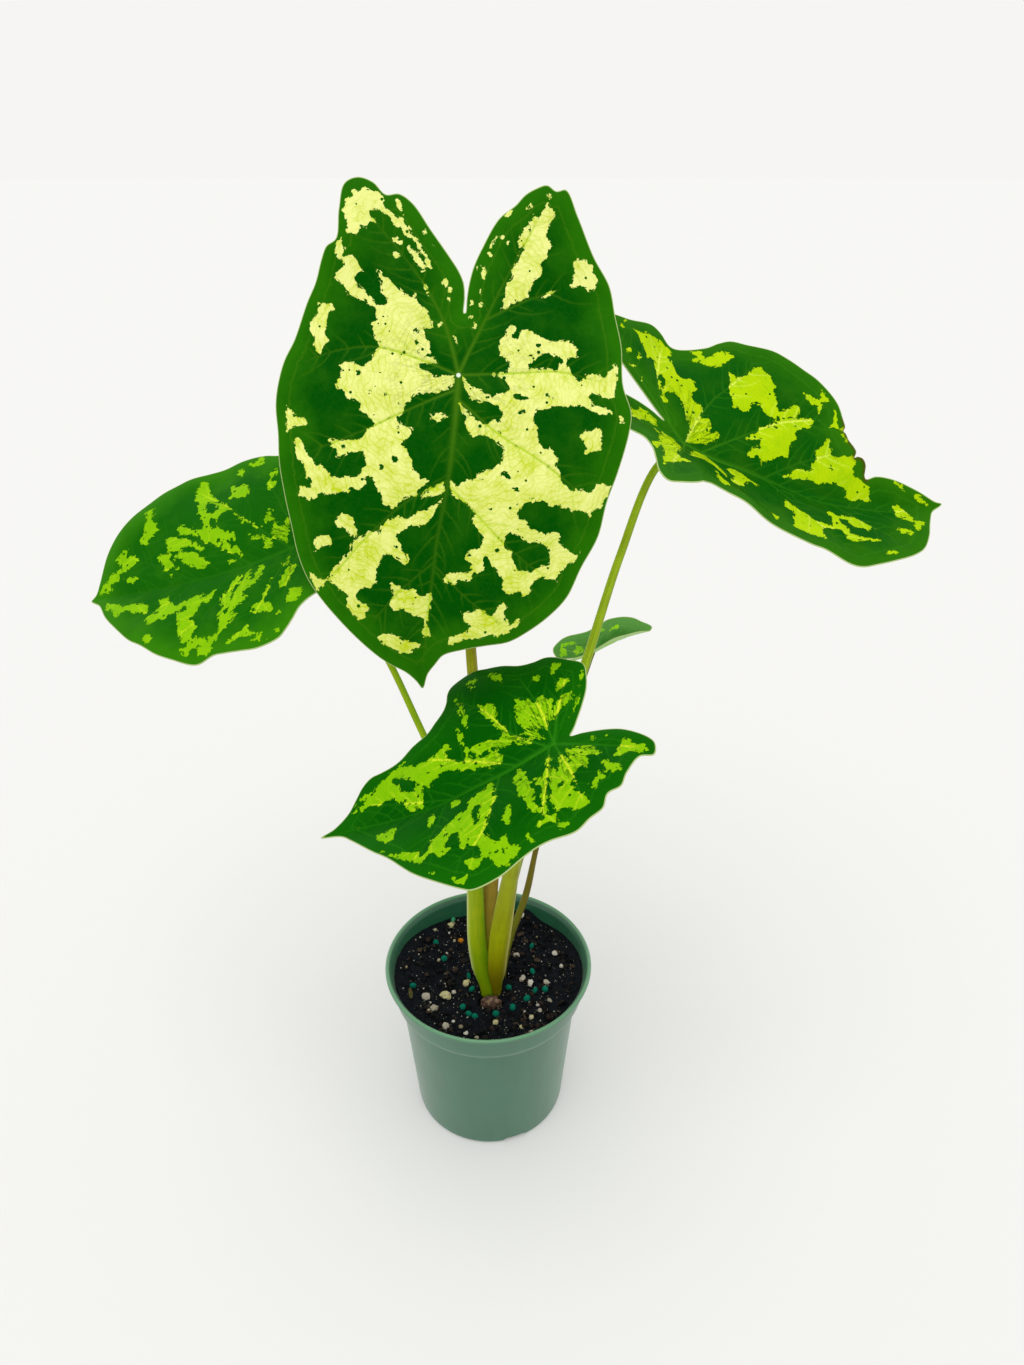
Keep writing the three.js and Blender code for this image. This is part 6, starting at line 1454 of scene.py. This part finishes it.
    # A dry scrap of leaf, long and curled
    scrap, scrap_faces = crumb(rng, 1.0, 0.3, 0.12, 2)
    along, over = scrap[:, 0] * 4.2, scrap[:, 1] * 1.2
    turn = math.radians(-72)
    scrap = np.column_stack([
        along * math.cos(turn) - over * math.sin(turn), along * math.sin(turn) + over * math.cos(turn),
        0.4 * scrap[:, 2] + 0.06 * along**2,
    ])
    lay((scrap, scrap_faces), -37.6, -15.7, 1.1, "#4E4A26")
    for i, (x, y) in enumerate(PRILLS):
        tint = {16: "#3FA070", 17: "#C0781A"}.get(i, "#00705A")
        lay(crumb(rng, PRILL_RADIUS, 1.0, 0.02, 3), x, y, 0.5 * PRILL_RADIUS, tint)
    soil = add_piece(
        "potting_mix", np.vstack(points), faces, material, tint=np.vstack(tints),
        grain=np.concatenate(grainy),
    )
    soil.data.set_sharp_from_angle(angle=math.radians(55))
    return soil


def make_soil_material():
    """Damp peat, bark fines and perlite, loose and crumbly: matt, almost black where wet, with dry brown
    fibres and pale dust."""
    material, add = new_material("damp_peat_and_perlite")
    place = add("TexCoord").outputs["Object"]
    tint = add("Attribute", attribute_name="tint").outputs["Vector"]
    grain = add("Attribute", attribute_name="grain").outputs["Fac"]
    # Clods 2.4 mm across and fibres 0.7 mm wide
    clods = add("TexNoise", {"Vector": place, "Scale": 420.0, "Detail": 6, "Roughness": 0.7})
    fibre = add("TexNoise", {"Vector": place, "Scale": 1400.0, "Detail": 3})
    wet = add("MapRange", clods, 0.35, 0.68)
    peat = add("Mix RGBA", wet, linear("#04070C"), linear("#12171E"))
    dust = add("MapRange", fibre, 0.66, 0.74)
    peat = add("Mix RGBA", dust, peat, linear("#3A342E"))
    shade = add("MapRange", clods, 0.3, 0.7, 0.72, 1.1)
    lump = add("VectorMath SCALE", tint, shade)
    colour = add("Mix RGBA", grain, peat, lump)
    height = add("Math MULTIPLY_ADD", fibre, 0.4, clods)
    relief = add("Bump", {"Height": height, "Strength": 0.6, "Distance": 0.5 * MM})
    soil = add(
        "BsdfPrincipled",
        {"Base Color": colour, "Roughness": 0.85, "Specular IOR Level": 0.12, "Normal": relief},
    )
    add("OutputMaterial", {"Surface": soil})
    return material


def make_corm(material):
    """The tuber under the soil, ringed by old leaf scars, with a papery brown bud that comes up from it."""
    rows, sides = 40, 48
    (cx, cy, cz), (rx, ry, rz) = CORM["centre"], CORM["radii"]
    points = []
    for k in range(rows + 1):
        polar = math.pi * k / rows
        for i in range(sides):
            turn = 2 * math.pi * i / sides
            swell = 0.985 - 0.02 * abs(math.sin(9 * polar))
            swell -= 0.015 * abs(noise.noise(Vector((2 * math.cos(turn), 2 * math.sin(turn), 3 * polar))))
            radial = max(math.sin(polar), 0.02)
            points.append((
                cx + rx * swell * radial * math.cos(turn), cy + ry * swell * radial * math.sin(turn),
                cz - rz * swell * math.cos(polar),
            ))
    faces = closed_faces(rows + 1, sides)
    # The bud: overlapping papery scales, torn at the top
    start = len(points)
    levels, bud_sides = 30, 44
    for k in range(levels + 1):
        share = k / levels
        height = 64 + (SCAR_BUD["top"] - 64) * share
        full = np.interp(share, [0, 0.5, 0.82, 0.94, 1], [0.72, 0.98, 0.96, 0.72, 0.28])
        for i in range(bud_sides):
            turn = 2 * math.pi * i / bud_sides
            ruffle = 0.07 * math.sin(5 * turn + 2 * share) + 0.3 * noise.noise(
                Vector((4 * math.cos(turn), 4 * math.sin(turn), 6 * share))
            )
            scale = 1 - 0.1 * ((share * 5 + 0.25 * math.sin(2 * turn)) % 1)
            radius = full * scale * (0.95 + ruffle * share)
            torn = -1.1 * abs(noise.noise(Vector((3 * math.cos(turn), 3 * math.sin(turn), 0.4)))) * share**6
            lean = np.interp(height, [60, 68, 75], [3, 0.6, 0])
            points.append((
                SCAR_BUD["x"] + SCAR_BUD["width"] * radius * math.cos(turn),
                SCAR_BUD["y"] + lean + SCAR_BUD["depth"] * radius * math.sin(turn), height + torn,
            ))
    faces += closed_faces(levels + 1, bud_sides, start)
    return add_piece("corm_and_scar_bud", points, faces, material)


def make_corm_skin():
    """Dry corky tuber skin and papery leaf scales: matt brown, lined round, flaking to a paler tan."""
    material, add = new_material("dry_corky_skin")
    place = add("TexCoord").outputs["Object"]
    flat = add("VectorMath MULTIPLY", place, (0.5, 0.5, 1))
    # Lines 1 mm apart and flakes 3 mm across
    lines = add("TexNoise", {"Vector": flat, "Scale": 900.0, "Detail": 4})
    flake = add("TexNoise", {"Vector": place, "Scale": 300.0, "Detail": 4})
    tone = add("MapRange", lines, 0.35, 0.65)
    colour = add("Mix RGBA", tone, linear("#2E1F1A"), linear("#6B4E3C"))
    dry = add("MapRange", flake, 0.56, 0.66, 0.0, 0.7)
    colour = add("Mix RGBA", dry, colour, linear("#A08468"))
    relief = add("Bump", {"Height": lines, "Strength": 0.6, "Distance": 0.3 * MM})
    skin = add("BsdfPrincipled", {"Base Color": colour, "Roughness": 0.85, "Normal": relief})
    add("OutputMaterial", {"Surface": skin})
    return material


def place_piece(piece, node):
    """Lets a piece ride with the plant in the place of a node of the frame, and hides that node."""
    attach(piece, "root")
    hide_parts(node)


# The name of each leaf's skin and its colours: heart, middle, edge, patch, line in a patch, vein, vein in a
# patch, underside and scar. Then how speckled the patches are, how far they break into rays near the stalk
# and how ragged they are.
LEAF_FINISHES = {
    "tall": (
        "satin_leaf_skin_cream_patched", "#014A01", "#1A5803", "#236902", "#E5EA8C", "#B9CC1C", "#44740E",
        "#AECB22", "#8DB060", "#DDE6D4", 0.3, 1.0, 0.95,
    ),
    "left": (
        "satin_leaf_skin_lime_patched_left", "#105B02", "#226603", "#2E7603", "#84BC06", "#72AE04",
        "#266E0A", "#B4D81C", "#7FA65A", "#266E0A", 0.5, 2.6, 1.5,
    ),
    "right": (
        "satin_leaf_skin_lime_patched_right", "#065203", "#1E5A04", "#286A03", "#AECE04", "#96C004",
        "#36780E", "#DCEC58", "#9CC46C", "#36780E", 0.4, 2.2, 1.1,
    ),
    "front": (
        "satin_leaf_skin_lime_patched_front", "#024F01", "#085402", "#105E02", "#84BC05", "#70AE04",
        "#28780C", "#D4E62C", "#8FB45C", "#28780C", 0.6, 3.6, 1.3,
    ),
    "back": (
        "satin_leaf_skin_lime_patched_back", "#2F7A20", "#4F8A38", "#5F9A48", "#9CDA20", "#80CC20",
        "#6FA858", "#C0E050", "#A4CC86", "#6FA858", 0.4, 1.0, 0.95,
    ),
}
for leaf_name, finish in LEAF_FINISHES.items():
    blade = make_blade(leaf_name, make_leaf_skin(*finish), 0.6 if leaf_name == "back" else BLADE_MESH)
    place_piece(blade, "blade_" + leaf_name)

# The name of each stalk's skin and its colours: low, middle, high, shade for the streaks and for the painted
# shade down one side, and the sheath's margin
STALK_FINISHES = {
    "tall": ("stalk_skin_brown_olive", "#8A9A08", "#A08A30", "#9CA014", "#7C6A20", "#A8904A"),
    "left": ("stalk_skin_yellow_green", "#7F9A04", "#9EAE08", "#98B40C", "#62980A", "#CDD588"),
    "right": ("stalk_skin_lime_olive", "#808C06", "#8E9A08", "#A2BE22", "#748A0C", "#C8CC80"),
    "front": ("stalk_skin_yellow_olive", "#7C7204", "#949E06", "#98B008", "#7A7A04", "#C6BE7C"),
    "back": ("young_stalk_skin", "#6E7A08", "#746A1C", "#7E8420", "#5A501A", "#8A8A40"),
}
for stalk_name, finish in STALK_FINISHES.items():
    stalk = make_stalk(stalk_name, make_stalk_skin(*finish))
    place_piece(stalk, "petiole_" + stalk_name)

# Pot, soil and corm

place_piece(make_pot(make_pot_plastic()), "pot")
place_piece(make_soil(make_soil_material()), "soil")
place_piece(make_corm(make_corm_skin()), "corm")

# Studio: a pale floor that runs out of sight, an even sky of the same pale tone and one wide soft sun

FLOOR_RADIUS = 40000
FLOOR_SIDES = 96


def make_floor_paint():
    """Matt pale floor paint that glows faintly, as a sheet lit from below does."""
    material, add = new_material("matt_pale_floor")
    cloud = add("TexNoise", {"Vector": add("TexCoord").outputs["Object"], "Scale": 0.9})
    tone = add("Mix RGBA", cloud, linear("#CACAC9"), linear("#CBCBCA"))
    paint = add(
        "BsdfPrincipled",
        {
            "Base Color": tone, "Roughness": 1.0, "Specular IOR Level": 0.0,
            "Emission Color": linear("#F6F6F4"), "Emission Strength": 0.2,
        },
    )
    add("OutputMaterial", {"Surface": paint})
    return material


floor_turns = [2 * math.pi * i / FLOOR_SIDES for i in range(FLOOR_SIDES)]
disc = [(FLOOR_RADIUS * math.cos(turn), FLOOR_RADIUS * math.sin(turn), -0.05) for turn in floor_turns]
floor = add_piece("floor", disc, [list(range(FLOOR_SIDES))], make_floor_paint())

world = bpy.data.worlds.new("even_pale_sky")
world.use_nodes = True
world.node_tree.nodes["Background"].inputs["Color"].default_value = linear("#F6F5F3")
world.node_tree.nodes["Background"].inputs["Strength"].default_value = 1.0
bpy.context.scene.world = world

sun_light = bpy.data.lights.new("soft_sun", "SUN")
sun_light.energy = 1.15
sun_light.angle = math.radians(45)
sun = bpy.data.objects.new("soft_sun", sun_light)
sun.rotation_euler = (math.radians(20), math.radians(-5), 0)
bpy.context.scene.collection.objects.link(sun)

# The camera, as it was fitted to the pot's rim, collar and base
camera_data = bpy.data.cameras.new("camera")
camera_data.lens = 24.95
camera_data.sensor_width = 36
camera_data.clip_start = 0.01
camera_data.clip_end = 200
camera = bpy.data.objects.new("camera", camera_data)
camera.location = (0.0117, -0.3468, 0.4353)
camera.rotation_euler = (math.radians(61.32), 0, 0)
bpy.context.scene.collection.objects.link(camera)
bpy.context.scene.camera = camera
bpy.context.scene.view_settings.view_transform = "Standard"
